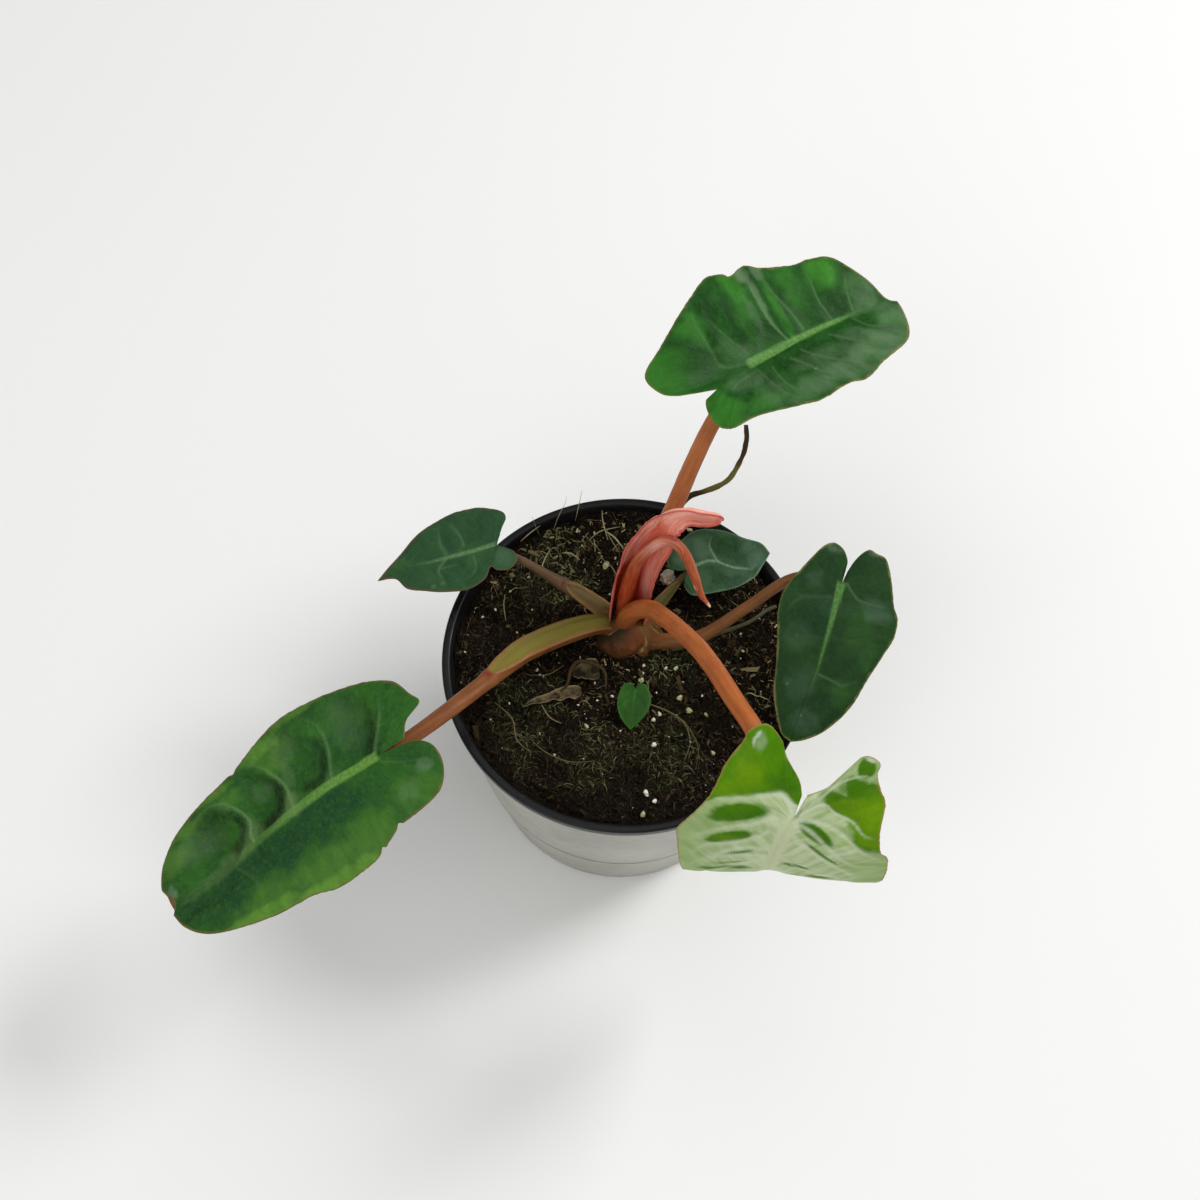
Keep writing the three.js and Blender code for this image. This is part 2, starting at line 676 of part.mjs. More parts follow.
function sheathGeometry(sheath, grow) {
  const route = sheath.route.map((p) => new THREE.Vector3(...p));
  const curve = new THREE.CatmullRomCurve3(route, false, 'centripetal');
  const points = [];
  const offsets = [];
  for (let i = 0; i <= sheath.rows; i += 1) {
    const f = i / sheath.rows;
    const centre = curve.getPointAt(f);
    const tangent = curve.getTangentAt(f);
    const front = sheath.facing.clone();
    front.addScaledVector(tangent, -front.dot(tangent)).normalize();
    const across = new THREE.Vector3().crossVectors(tangent, front);
    const half = along(sheath.halfWidth, f);
    const wrap = radians(along(sheath.wrap, f)) + grow / half;
    const row = [];
    const out = [];
    for (let j = 0; j <= sheath.columns; j += 1) {
      const angle = mix(-wrap, wrap, j / sheath.columns);
      const radius = half / Math.min(1, Math.sin(Math.min(wrap, Math.PI / 2)));
      const spoke = front.clone().multiplyScalar(-Math.cos(angle)).addScaledVector(across, Math.sin(angle));
      row.push(centre.clone().addScaledVector(spoke, radius));
      out.push(spoke);
    }
    points.push(row);
    offsets.push(out);
  }
  return thickSheet(points, offsets, SHEATH_THICKNESS + 2 * grow);
}

// Coral spike: the narrow rolled tip that stands up inside the sheath and arches down in front

const CORAL_SPIKE = {
  route: [[-1.8, 15.8, 90], [-1.2, 16.3, 94], [-0.4, 16.6, 106], [1, 16.8, 118.5], [3.1, 17, 128.5],
    [6.3, 17, 135], [9.8, 16.8, 139.5], [13.1, 15.5, 141], [16.7, 13.6, 136.5], [20, 10.6, 128.5],
    [22.3, 8, 122], [25.5, 6.2, 117]],
  radii: [2.4, 2.5, 2.5, 2.3, 2.1, 1.9, 1.75, 1.7, 1.6, 1.5, 1.2, 0.4],
  steps: 22,
  colour: 0xd2604a,
};

// Dead leaf scraps lie on the soil

const SCRAPS = {
  leaf_scrap_pointed: {
    from: [-33, -17.5],
    to: [-14, -11],
    half: 4.5,
    curl: 1.8,
    above: 1.1,
    rows: 8,
    columns: 4,
    colour: 0x5b4a30,
  },
  leaf_scrap_curled: {
    from: [-17, -5],
    to: [-8.5, -3.5],
    half: 5,
    curl: 4.5,
    above: 1.3,
    rows: 6,
    columns: 6,
    colour: 0x4c3d2c,
  },
};

function scrapGeometry(scrap) {
  const start = new THREE.Vector2(...scrap.from);
  const end = new THREE.Vector2(...scrap.to);
  const ahead = end.clone().sub(start).normalize();
  const points = [];
  const offsets = [];
  for (let i = 0; i <= scrap.rows; i += 1) {
    const f = i / scrap.rows;
    const width = scrap.half * Math.sin(Math.PI * mix(0.06, 0.94, f)) ** 0.7;
    const row = [];
    const up = [];
    for (let j = 0; j <= scrap.columns; j += 1) {
      const w = mix(-1, 1, j / scrap.columns);
      const x = mix(start.x, end.x, f) - ahead.y * w * width;
      const y = mix(start.y, end.y, f) + ahead.x * w * width;
      const lift = scrap.curl * w * w * (0.5 + 0.5 * f) + 0.4 * Math.sin(5 * f);
      row.push(new THREE.Vector3(x, y, soilHeight(x, y) + scrap.above + lift));
      up.push(new THREE.Vector3(0, 0, 1));
    }
    points.push(row);
    offsets.push(up);
  }
  return thickSheet(points, offsets, SCRAP_THICKNESS);
}

// Perlite: a white lump of the potting mix that lies on the surface

const PERLITE = { x: 13.5, y: 32.5, radius: 1.8, above: 2, flatten: 0.8 };

function perliteGeometry() {
  const { x: middleX, y: middleY, radius, above, flatten } = PERLITE;
  const lump = new THREE.IcosahedronGeometry(radius, 1);
  lump.deleteAttribute('normal');
  lump.deleteAttribute('uv');
  const merged = mergeVertices(lump, 1e-4);
  const position = merged.getAttribute('position');
  for (let k = 0; k < position.count; k += 1) {
    const [x, y, z] = [position.getX(k), position.getY(k), position.getZ(k)];
    const size = 1 + 0.16 * Math.sin(3 * x + 2 * z) + 0.12 * Math.cos(4 * y);
    position.setXYZ(k, x * size, y * size, flatten * z * size);
  }
  return merged.translate(middleX, middleY, soilHeight(middleX, middleY) + above);
}

// The plant put together: later pieces are cut clear of the earlier ones that they touch

const plant = new THREE.Group();

function addPiece(name, geometry, colour, roughness) {
  geometry.computeVertexNormals();
  const material = new THREE.MeshStandardMaterial({ color: colour, roughness, metalness: 0 });
  const mesh = new THREE.Mesh(geometry, material);
  mesh.name = name;
  plant.add(mesh);
}

const grownCrown = crownSolid(CLEARANCE);
const grownBlades = {};
for (const [name, blade] of Object.entries(BLADES)) {
  addPiece(name, bladeGeometry(blade, 0), blade.colour, 0.45);
  grownBlades[name] = toSolid(bladeGeometry(blade, CLEARANCE));
}

const standing = [grownCrown];
const touching = [...Object.values(grownBlades)];

function addStem(name, geometry, grown, colour, roughness) {
  const solid = cutClear(toSolid(geometry), [...standing, ...touching]);
  addPiece(name, toGeometry(solid), colour, roughness);
  standing.push(toSolid(grown));
}

const spike = (grow) => stalkGeometry(CORAL_SPIKE, grow);
const sheath = (grow) => sheathGeometry(PINK_SHEATH, grow);
addStem('coral_spike', spike(0), spike(CLEARANCE), CORAL_SPIKE.colour, 0.45);
addStem('pink_sheath', sheath(0), sheath(CLEARANCE), PINK_SHEATH.colour, 0.45);
for (const [name, stalk] of Object.entries(STALKS)) {
  addStem(name, stalkGeometry(stalk, 0), stalkGeometry(stalk, CLEARANCE), stalk.colour, 0.5);
}

addPiece('crown', toGeometry(crownSolid(0)), 0x7d4a33, 0.6);
addPiece('soil', toGeometry(cutClear(toSolid(soilGeometry()), standing)), 0x2a2018, 0.95);
addPiece('pot', potGeometry(), 0x9a9a95, 0.45);
for (const [name, scrap] of Object.entries(SCRAPS)) {
  addPiece(name, scrapGeometry(scrap), scrap.colour, 0.8);
}
addPiece('perlite', perliteGeometry(), 0xe6e2d8, 0.9);

export default plant;
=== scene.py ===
"""Potted philodendron billietiae: the finished plant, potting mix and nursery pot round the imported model.

Leaves, stalks and soil are surfaces worked out on grids. Lengths in the tables are millimetres, as in the
part's source, and become metres where a mesh is made. Their colours are masks kept on the vertices, which
the materials turn into paint.
"""

import math

import bmesh
import bpy
import numpy as np
from mathutils import Matrix


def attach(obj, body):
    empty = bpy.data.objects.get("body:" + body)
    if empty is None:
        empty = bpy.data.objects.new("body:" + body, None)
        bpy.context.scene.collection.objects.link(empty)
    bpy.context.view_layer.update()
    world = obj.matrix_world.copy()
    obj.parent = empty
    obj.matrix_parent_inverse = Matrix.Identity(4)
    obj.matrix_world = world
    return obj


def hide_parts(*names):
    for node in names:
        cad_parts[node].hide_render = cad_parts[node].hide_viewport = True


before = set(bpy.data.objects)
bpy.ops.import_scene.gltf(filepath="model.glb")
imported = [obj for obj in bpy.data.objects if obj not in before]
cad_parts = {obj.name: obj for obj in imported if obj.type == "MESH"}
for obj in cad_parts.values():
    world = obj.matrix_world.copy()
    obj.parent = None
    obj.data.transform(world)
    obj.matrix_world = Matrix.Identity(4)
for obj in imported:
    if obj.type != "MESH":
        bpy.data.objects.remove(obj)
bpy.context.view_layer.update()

MM = 0.001
BODY = "root"

# The photograph's view: a camera held over the pot, tilted down and rolled a little

CAMERA_AT = (-0.0091, -0.2459, 0.6230)
CAMERA_TILT = 63.43
CAMERA_ROLL = 2.14
LENS = 54.0

# Leaf blades. Outlines are those of the part's source: they run from the notch at the stalk, round the
# lobe, to the tip. Everything else lies on the same flat blade, in millimetres along it and to its left.
# seat, heading, roll and slope place the blade: the stalk's end, the rib's direction seen from above, the
# tilt to one side, and the rib's slope at places along it. fan is the share of rays that spread out from the
# stalk. rib_width is the rib's half width at its start and tip, and rib_fade is where its colour fades. fold,
# droop and wave are for the left and the right half. puff is how high the fields swell between veins, and
# over what distance. nicks are small bites out of the margin, and rays and steps count the grid's lines.
# A stroke is its points, half width and strength. A patch is its middle, two radii and strength, and may
# have a slant. A dish is a round hollow: its middle, two radii and depth.
# Strokes and patches under painted_sheen are painted highlights, glints and sheen on the glossy blades.

BLADES = {
    "leaf_left": dict(
        seat=(-74.7, -46.1, 112), heading=-151, slope=[(-30, -14), (0, -20), (83, -29)], length=83, fan=0.27,
        left=[(-9, 1), (-14, 3), (-17, 7), (-17, 13), (-13, 19), (-5, 21.5), (4, 23), (13, 27), (21, 28),
              (30, 28), (38, 26), (52, 25), (66, 21.5), (75, 17.5), (80.5, 12), (82.6, 7), (83, 4.5)],
        right=[(-10, 0.5), (-13, 5), (-19, 8), (-17.5, 12), (-14, 19), (-4, 24.5), (11, 28.5), (25, 30),
               (36, 27), (45, 23), (53.5, 21), (62.5, 19), (72, 15.5), (79, 10), (82.5, 4), (83.2, -1),
               (83, -4.5)],
        rib=[(0, 0), (20, -0.3), (32, 0.5), (43, 1.6), (60, 4), (71, 4.3), (83, 4.5)], rib_width=(1.5, 0.9),
        rib_fade=(0.15, 0.78), nicks=[(45.3, -22.2), (52.3, -19.7), (3.6, 22.9), (11.6, 26.5)],
        fold=(0.1, 0.14), droop=(0.2, 0.22), wave=(0.8, 0.6), waves=3,
        puff=(0.5, 5.0), vein_rise=0.3, rays=260, steps=48,
        dishes=[(8, -14, 12, 13, 3.6), (25, -12, 10, 10, 3.7), (42.5, -8.5, 10, 9.5, 3.5),
                (62, -4.5, 13, 10, 3)],
        strokes=dict(
            vein=[([(0.2, -1.5), (-3, -6), (-6.6, -11.6), (-8.5, -17.6)], 0.5, 0.35),
                  ([(16.1, -0.4), (14.8, -5.7), (13.4, -13.3), (14.1, -20.8), (20.3, -28.4)], 0.4, 0.45),
                  ([(31.5, 0.5), (30.6, -4.1), (31.4, -10.4), (36.1, -18.8), (43, -23.8)], 0.5, 0.6),
                  ([(47.3, 1.5), (47.5, -1.1), (46.6, -5.8), (49.4, -12.2), (54.9, -17.5)], 0.5, 0.7),
                  ([(51, -14.5), (57, -17), (66, -15.5)], 0.4, 0.4),
                  ([(56, 6), (52, 13), (54, 21.9)], 0.35, 0.2),
                  ([(1.5, 1), (-6, 6), (-13, 9)], 0.3, 0.15)],
            # dark: painted shade on the wall of each dish nearest the light, and in creases
            dark=[([(1.6, -2.6), (-1.4, -6.8), (-3.6, -12), (-4.4, -19)], 2.4, 0.9),
                  ([(25, -4.4), (20.4, -3.2), (17.2, -5.6), (15.8, -11), (15.8, -17)], 2.3, 0.9),
                  ([(41, -1.4), (36.4, -1.6), (33.8, -4.4), (33.6, -9.4), (36.6, -15.4), (41, -17.4)],
                   2.6, 1.0),
                  ([(53.6, 0), (50.8, -1.8), (49.2, -5.6), (51.9, -10.7), (58.9, -14.3), (65.6, -12.6)],
                   2.2, 0.9),
                  ([(82.6, 11), (74, 10.4), (63, 11.6), (54, 7)], 0.9, 0.5)]),
        patches=dict(
            deep=[(24, 6.6, 17, 6.6, 1.0), (42, 9.4, 19, 7.6, 0.95), (60, 10.5, 17, 7, 0.85),
                  (74, 9, 12, 7, 0.5), (8, 5, 9, 4, 0.4), (8, -11, 9, 8, 0.35), (23, -10, 7, 7, 0.3)],
            bright=[(32, 27, 24, 3.8, 0.95), (58, 23, 17, 3.2, 0.9), (26, 21, 16, 6, 0.4),
                    (12, 20, 9, 6, 0.4),
                    (-6, 16, 8, 6, 0.25), (34, -24.5, 8, 4, 0.8), (32, -19, 5, 5, 0.35),
                    (18, -29, 14, 2.4, 0.5),
                    (75, -9, 8, 5, 0.4), (54, -20, 8, 2.2, 0.6), (46, 18, 15, 5, 0.35),
                    (68, -15, 9, 2.4, 0.5),
                    (50, -15, 5, 3, 0.3)],
            web=[(31, -2, 3, 4.6, 0.85), (38, -0.2, 8, 2.2, 0.8), (29, -12, 1.8, 5, 0.4),
                 (47.5, -2, 3, 4.6, 0.85), (54, 1.8, 8, 2.8, 0.8), (62, 3.6, 9, 2.4, 0.6),
                 (15.5, -2, 3, 2.4, 0.4),
                 (27, -20, 5, 5, 0.3), (71, 4.5, 7, 1.6, 0.4), (52, -14, 2, 4, 0.3)],
            # dark: painted shade in the notch at the stalk and inside the dishes
            dark=[(0.2, -0.9, 1.7, 1.2, 0.9), (58, -9, 8, 6, 0.35), (40, -10, 4, 5, 0.3),
                  (-3, -3, 3, 1, 0.5)],
            painted_sheen=[(39.5, -11.5, 4.6, 3, 0.16), (79.5, 0, 1.6, 2.6, 0.4), (5, -16, 6, 9, 0.12),
                   (66, -8, 9, 5, 0.14), (-4, 15, 4, 3, 0.16), (-11.5, 10.4, 3.4, 2.2, 0.3)])),
    "leaf_back": dict(
        seat=(34.5, 73.5, 152), heading=30, slope=[(-35, 2), (0, -3), (58.6, -9)], length=58.6, fan=0.42,
        left=[(-12.5, -4.5), (-24, -0.5), (-30, 3), (-31.5, 10), (-22.5, 16.5), (-15, 21.5), (-7, 26.5),
              (1.5, 31.5), (8, 31.5), (10, 30), (15, 31), (19, 28), (29, 25.5), (37, 26), (45, 23.5),
              (51.3, 13), (54.8, 5), (58.6, 2.6)],
        right=[(-14, 6), (-19, 6.5), (-21.5, 12.5), (-21.5, 18.5), (-18, 21.5), (-9.5, 20.5), (3.5, 22.5),
               (11.5, 24.5), (21.5, 23), (28, 23.5), (37, 19.5), (47.6, 16), (52.6, 11), (57.2, 1.5),
               (58.6, -2.6)],
        rib=[(0, 0), (8, 0.6), (18, 2), (29, 2.8), (40, 3.4), (50, 3), (58.6, 2.6)], rib_width=(1.7, 0.3),
        taper=1.0,
        rib_fade=(0.55, 0.78), fold=(0.3, 0.35), droop=(0.1, 0.1), wave=(1.4, 0.7), waves=3.5,
        puff=(1.3, 4.0), vein_rise=-0.15, rays=240, steps=44,
        strokes=dict(
            vein=[([(1.2, 0.6), (-7.7, 2.7), (-8.5, 8.9), (-8.9, 15.7), (-8.7, 20.9), (-7.6, 24.2)],
                   0.6, 0.35),
                  ([(2, 3.4), (-2.5, 12.3), (-4.6, 18.3)], 0.35, 0.35),
                  ([(16.6, 2.4), (14, 10.8), (14, 18.4), (13.7, 24.9), (14.1, 30.3)], 0.55, 0.8),
                  ([(23.1, 4.3), (22.1, 9.9), (20, 16.7), (18.9, 21.8), (18.8, 27)], 0.45, 0.55),
                  ([(33.9, 4.6), (32.7, 11.5), (33.5, 17.8), (33.9, 22.3)], 0.35, 0.5),
                  ([(42, 3.7), (42.9, 8.8), (44.5, 14.2), (46.5, 19)], 0.4, 0.5),
                  ([(1.1, -3.5), (-6.8, -5.6), (-10.4, -8.2)], 0.6, 0.35),
                  ([(1.5, -4.1), (2, -10.6), (3.6, -16.7), (6.2, -20.7)], 0.45, 0.35),
                  ([(5.9, -4.4), (5.5, -11.1), (6.9, -16.5), (11, -20.3)], 0.4, 0.4),
                  ([(12.8, -4.3), (15.5, -9.3), (17.9, -14.8), (22.2, -18.6)], 0.4, 0.5),
                  ([(17.8, -2.8), (20.6, -7.9), (26, -13.1), (31, -17)], 0.4, 0.5),
                  ([(29.3, -1.1), (34, -6.6), (39.3, -12.1)], 0.35, 0.5),
                  ([(40.3, 1.4), (42.9, -3.7), (48, -6.9)], 0.35, 0.45)],
            dark=[([(-1, 1.2), (3, 2.6)], 0.8, 0.6), ([(12.3, 30), (12, 24)], 0.6, 0.55),
                  ([(-6.6, 26), (-6.4, 21)], 0.9, 0.4)]),
        patches=dict(
            deep=[(8, 8, 12, 5, 0.6), (22, -4.5, 7, 2.2, 0.7), (1.3, -10, 3.5, 5, 0.75),
                  (36.5, 7.5, 5, 4, 0.7),
                  (-17, 9.5, 8, 7, 0.4), (24, -11.5, 6, 3, 0.55), (-4, 22, 3.5, 6, 0.7),
                  (-5.6, 13, 2.6, 6, 0.5),
                  (10, -7, 3.5, 4, 0.6), (28, 9, 4, 8, 0.45), (31, -6, 5, 3, 0.5), (16, 7, 1.4, 6, 0.7),
                  (21, 9, 1.2, 8, 0.6), (9, 7, 3, 5, 0.6), (40, 9, 3, 5, 0.5), (17, -8, 2, 4, 0.6),
                  (23, -8, 2, 4, 0.5), (3, 18, 3, 8, 0.5), (29, 13, 3, 9, 0.5)],
            bright=[(8.2, 25, 4, 8, 0.6), (26, 19, 4, 9, 0.4), (38.5, 19.5, 6, 6, 0.75), (18, 12, 2, 11, 0.5),
                    (-25, 8, 10, 9, 0.45), (-17, -14.5, 6, 8, 0.55), (6, 14, 3, 8, 0.35),
                    (-10, 17, 3, 7, 0.45),
                    (49, -2.7, 4, 3, 0.35), (-13, 18, 4, 3, 0.5), (-4, -17, 6, 3, 0.35)],
            web=[(-3, -1.4, 6, 1.6, 0.45), (44, 3.2, 6, 1.6, 0.45), (50, 4, 5, 3, 0.4)],
            painted_sheen=[(-4, -6.5, 7, 4, 0.35), (2, -15, 8, 6, 0.22), (11, -19, 10, 5, 0.4),
                   (25, -17, 13, 6, 0.5), (40, -13, 12, 7, 0.6), (52, -4, 7, 8, 0.5), (24, -9, 14, 4, 0.25),
                   (12.8, 29, 2.0, 4.5, 0.9), (14, 20, 1.2, 10, 0.6), (17.6, 27, 2, 3.6, 0.5),
                   (9.6, 14, 1.6, 8, 0.25), (48, 9, 6, 7, 0.4), (-3, 6, 4, 5, 0.2), (1, 4, 8, 3, 0.25),
                   (-14, 2, 8, 3, 0.15), (23, 9, 3, 8, 0.12), (34, 7, 3, 5, 0.12), (35, -5, 5, 3, 0.3),
                   (16.6, -12.4, 0.6, 0.5, 1.6)])),
    "leaf_front": dict(
        seat=(47.9, -71.7, 140), heading=-114, roll=-12,
        slope=[(-40, -20), (0, -43), (12, -65), (26, -110), (42, -116), (84, -102)], length=84, fan=0.42,
        left=[(-8.6, 1), (-13, 5.5), (-20.3, 9.3), (-24, 10.5), (-25.7, 13), (-25, 16.3), (-21.5, 17),
              (-17.3, 20), (-13.8, 22.8), (-5, 24.5), (1.2, 27), (4.4, 30), (14, 31.5), (28, 30),
              (46, 24.5), (64, 14.5), (78, 5), (84, 0)],
        right=[(-8, 0.5), (-12, 3), (-17, 9), (-21, 12.5), (-23.5, 18), (-20.5, 22), (-17, 22.5),
               (-10, 24.5), (-3, 25), (1, 26), (6.5, 29), (10, 30.5), (13.5, 29), (21, 26.5),
               (34, 24.5), (50, 20), (66, 12.5), (78, 5), (84, 0)],
        rib=[(0, -0.6), (18, -1.4), (40, -0.6), (84, 0)], rib_width=(2.3, 0.6), rib_fade=(0.9, 1.0),
        fold=(0, 0.3), droop=(0.1, 0.1), wave=(1.2, 0.7), waves=4, puff=(0.8, 3.6), vein_rise=-0.1,
        rays=260, steps=44,
        strokes=dict(
            vein=[([(-1, -0.8), (-4.1, -2.1), (-6.5, -6.4), (-3.5, -14), (0.3, -24.7)], 1.2, 0.8),
                  ([(0.5, -5.6), (3.8, -10.8), (6.6, -18.6), (11, -25.9)], 0.8, 0.65),
                  ([(5.2, -5.7), (8.2, -9.1), (12.6, -21), (15.6, -24.5)], 0.8, 0.65),
                  ([(11.3, -3.9), (12.4, -13.1), (19.8, -23.8)], 0.8, 0.65),
                  ([(14.1, -3.4), (15.2, -15.6), (20.7, -21.5)], 0.7, 0.65),
                  ([(1.2, 0), (1.2, 4.7), (5.3, 12.4), (10.5, 20.8), (9.7, 27.5)], 0.9, 0.75),
                  ([(-0.2, 0.2), (-2, 7.4), (-0.5, 15), (3.9, 22.7), (6.1, 28.4)], 0.9, 0.7),
                  ([(-2.2, 1.4), (-7.5, 5.9), (-6.2, 10.4), (-5.3, 16.1), (-2.6, 20.5), (-2.9, 24.8)],
                   0.4, 0.75),
                  ([(-9.7, 5), (-16.1, 8.8), (-19.9, 14.2), (-18.7, 18.1)], 0.4, 0.5),
                  ([(2.7, -1.2), (6.2, 3.8), (8.6, 9), (14.8, 19.3), (20.9, 22.8)], 0.9, 0.75)],
            dark=[([(-0.6, 0.4), (-4.6, 1.2)], 0.3, 0.6)],
            painted_sheen=[([(-20.6, -19), (-18.4, -19.7), (-16.6, -19)], 0.5, 0.5)]),
        side_veins=[14, 24, 35, 47, 60],
        patches=dict(
            green=[(1.3, -15.8, 2.9, 9, 1.0, -0.26), (8.6, -15.4, 2.1, 6.9, 1.0, -0.32),
                   (13.5, -11.7, 0.9, 5.5, 0.75, -0.35), (21, -14, 1.4, 9, 0.8, -0.1),
                   (17.6, -13, 0.7, 6, 0.6, -0.2),
                   (-9.2, 11.5, 3.4, 7.6, 1.0, 0.17), (-13.5, 18, 6, 6, 1.0), (-9, 19.5, 7, 7, 1.0),
                   (-4, 22, 7, 6, 1.0), (-6, 26, 9, 4, 0.9), (-16, 22, 5, 4, 0.9), (-15, 13.5, 4.4, 4, 0.9),
                   (-15, 9.8, 3.4, 2.4, 0.55), (-16, 11.4, 3.2, 2.4, 0.8), (1.9, 7.5, 2.8, 6.4, 1.0, 0.35),
                   (8.4, 11.5, 1.0, 7, 0.7, 0.5),
                   (-22.2, 13.3, 3.6, 2.8, 1.0), (16.2, 6, 1.2, 4.5, 0.8), (24.5, 16, 1.6, 7.5, 0.85, 0.4),
                   (33, 12, 2.4, 8, 0.8, 0.5), (46, 10, 2.4, 7, 0.8, 0.5),
                   (58, 7, 2.4, 5, 0.8, 0.5), (30, -12, 2.4, 7, 0.8, -0.5), (42, -10, 2.4, 6, 0.8, -0.5),
                   (55, -7, 2.4, 5, 0.8, -0.5)],
            # On the hind lobe, the deep patches are painted shade across it.
            deep=[(-12, -6, 7, 5, 0.8), (-8, -3, 4, 3, 0.4), (1.4, -10, 2.2, 3.4, 0.8),
                  (2.2, 4.5, 1.6, 3.4, 0.5),
                  (-9, 9, 2, 3, 0.3), (-20, -12.5, 3, 3, 0.4)],
            # On the hind lobe, the bright patches are painted light across it.
            bright=[(-9, -17.5, 5, 5, 0.9), (-3.5, -21, 4, 3.4, 0.7), (-15, -19, 4, 3, 0.4),
                    (-9, 13, 3, 6, 0.9), (-9, 19, 8, 6, 0.9), (-3, 22, 5, 4, 0.7), (8.8, -17, 1.4, 4, 0.5)],
            web=[(-4.6, -2.6, 3, 2.4, 0.7), (-3.4, -9, 1.6, 5, 0.5), (12, 9, 8, 9, 0.9), (22, 15, 9, 9, 0.9),
                 (14, -10, 7, 10, 0.8), (5, 14, 3, 12, 0.8), (-4, 9, 2.4, 6, 0.6)],
            painted_sheen=[(-18.4, -17.6, 2.4, 1.6, 0.16), (-24.8, 13.4, 0.6, 1.8, 0.5)])),
    "leaf_right": dict(
        seat=(66.7, 14.3, 121), heading=-107.5, slope=[(-15, -23), (0, -25), (52.5, -28)], length=52.5,
        fan=0.4,
        left=[(-4, 0.5), (-7.5, 1.5), (-10.5, 3), (-12.5, 5), (-12, 7.5), (-11, 11), (-5, 14.5), (2, 17.5),
              (6, 20), (12, 20.5), (20, 18.5), (27.5, 16.5), (34.5, 15), (40.5, 12.5), (46.5, 8.5),
              (50.5, 4), (52.5, 0)],
        right=[(-4, 0.3), (-7, 0.4), (-10, 2.5), (-11.2, 5), (-11, 7), (-8.5, 9.5), (-0.5, 13.5), (7, 16.5),
               (14, 16.5), (21, 14.5), (30, 12), (39, 10), (46.5, 6.5), (51, 3.5), (52.5, 0)],
        rib=[(0, -0.2), (16, 0.6), (29, 1), (35, 0.5), (52.5, 0)], rib_width=(1.5, 0.35), taper=3,
        rib_fade=(0.4, 0.72),
        fold=(0.1, 0.12), droop=(0.12, 0.12), wave=(0.4, 0.3), waves=3, puff=(0.8, 4.0), vein_rise=-0.12,
        rays=200, steps=34,
        strokes=dict(
            vein=[([(-0.2, 1.6), (2, 4.1), (3.6, 6.7), (3.7, 12.3), (3.2, 16)], 0.35, 0.5),
                  ([(5.1, -0.9), (5.3, -2.8), (6.9, -7.6), (7.4, -12.3), (4, -14.1)], 0.5, 0.2),
                  ([(7.7, -10.3), (10.2, -12.4), (13.9, -13.6)], 0.5, 0.2),
                  ([(29.6, 1.9), (30.2, 7), (30.6, 9.9), (28.5, 13.2)], 0.3, 0.55),
                  ([(16.9, 1.3), (17, 6.1), (14.2, 12.8)], 0.3, 0.12),
                  ([(18.2, 0.6), (18.9, -4.7), (20.9, -9.4)], 0.3, 0.12)],
            dark=[([(-4, 0.1), (-0.5, 0.2)], 0.9, 0.9)]),
        patches=dict(
            deep=[(12, -5, 6, 5, 0.7), (40, 6, 6, 5, 0.5), (-5, -5, 5, 4, 0.5), (24, 8, 5, 5, 0.3)],
            bright=[(12.4, 10, 7, 5, 0.6), (33.7, 10, 6, 3, 0.7), (20, 14, 6, 3, 0.5), (39.3, 6, 4, 3, 0.5)],
            web=[(4, -7, 3, 3, 0.2)],
            painted_sheen=[(5.4, 13, 4, 5, 0.4), (34.2, -2.8, 7, 5, 0.25), (44.3, 2.3, 5, 5, 0.35),
                   (1, -8.6, 3, 3, 0.25),
                   (20, -8, 5, 5, 0.2), (43.5, 0.4, 0.5, 0.5, 1.0), (35.4, -6.6, 0.4, 0.4, 1.0),
                   (20, -8.4, 0.5, 0.4, 0.9),
                   (-9.3, -6, 1.4, 2.6, 0.5), (-11.6, 7, 0.9, 2, 0.5), (8, 0.2, 3, 6, 0.12)])),
    "leaf_upper_left": dict(
        seat=(-43.5, 30.2, 108), heading=-166.5, slope=[(-10, -12), (0, -14), (41, -16)], length=41, fan=0.36,
        left=[(-2.2, 1.6), (-5.6, 4.6), (-5.8, 8.2), (-2.6, 10.2), (1, 9.4), (3, 7.8), (5.5, 11.3),
              (12, 13), (20, 11.5),
              (25.5, 9.5), (31.5, 6.5), (35, 1.5), (41, 0)],
        right=[(-2, 3), (-3, 5.5), (-5, 8), (-4.5, 10.5), (-0.5, 13), (4, 15), (11, 15.5), (17.5, 14),
               (25, 11.5), (32, 6.5), (37, 3), (41, 0)],
        rib=[(0, -0.2), (8, 0), (16, -0.4), (22, -0.6), (30, -1.6), (41, 0)], rib_width=(0.8, 0.3),
        rib_fade=(0.3, 0.8), fold=(0.12, 0.12), droop=(0.12, 0.12), wave=(0.4, 0.4), waves=3,
        puff=(0.6, 3.2), vein_rise=-0.1, rays=160, steps=32,
        strokes=dict(
            vein=[([(10.4, -2.9), (11.1, -7.1), (13.6, -12.1)], 0.3, 0.5),
                  ([(16.7, -2), (17.9, -6.3), (17.6, -10.8)], 0.6, 0.3),
                  ([(7.8, 1.8), (8, 7.2), (12.5, 9.8)], 0.35, 0.25),
                  ([(16.9, -0.1), (20.1, 3.2), (19.1, 7.2)], 0.4, 0.45),
                  ([(20.1, 3.2), (17.3, 2.9), (14, 3.3)], 0.25, 0.35)],
            dark=[([(-0.2, 0.4), (1, 4), (3.4, 8)], 0.5, 0.5)]),
        patches=dict(
            deep=[(4, -8, 5, 4, 0.5), (24, -4, 5, 4, 0.3), (13, 6, 5, 4, 0.4)],
            bright=[(7.7, 2.5, 3, 3, 0.5), (9, -1.5, 5, 1.5, 0.4), (33, -3, 4, 2, 0.5)],
            web=[(15, -0.5, 4, 1.6, 0.3)],
            painted_sheen=[(-2, 5.5, 3.5, 3.5, 0.25), (19.3, 8.3, 1, 1, 0.4), (22.6, 8.9, 0.9, 0.9, 0.4)])),
    "leaf_rear_low": dict(
        seat=(19.3, 29.9, 96), heading=15.5, slope=[(-10, 3), (0, 1), (28, -2)], length=28.5, fan=0.36,
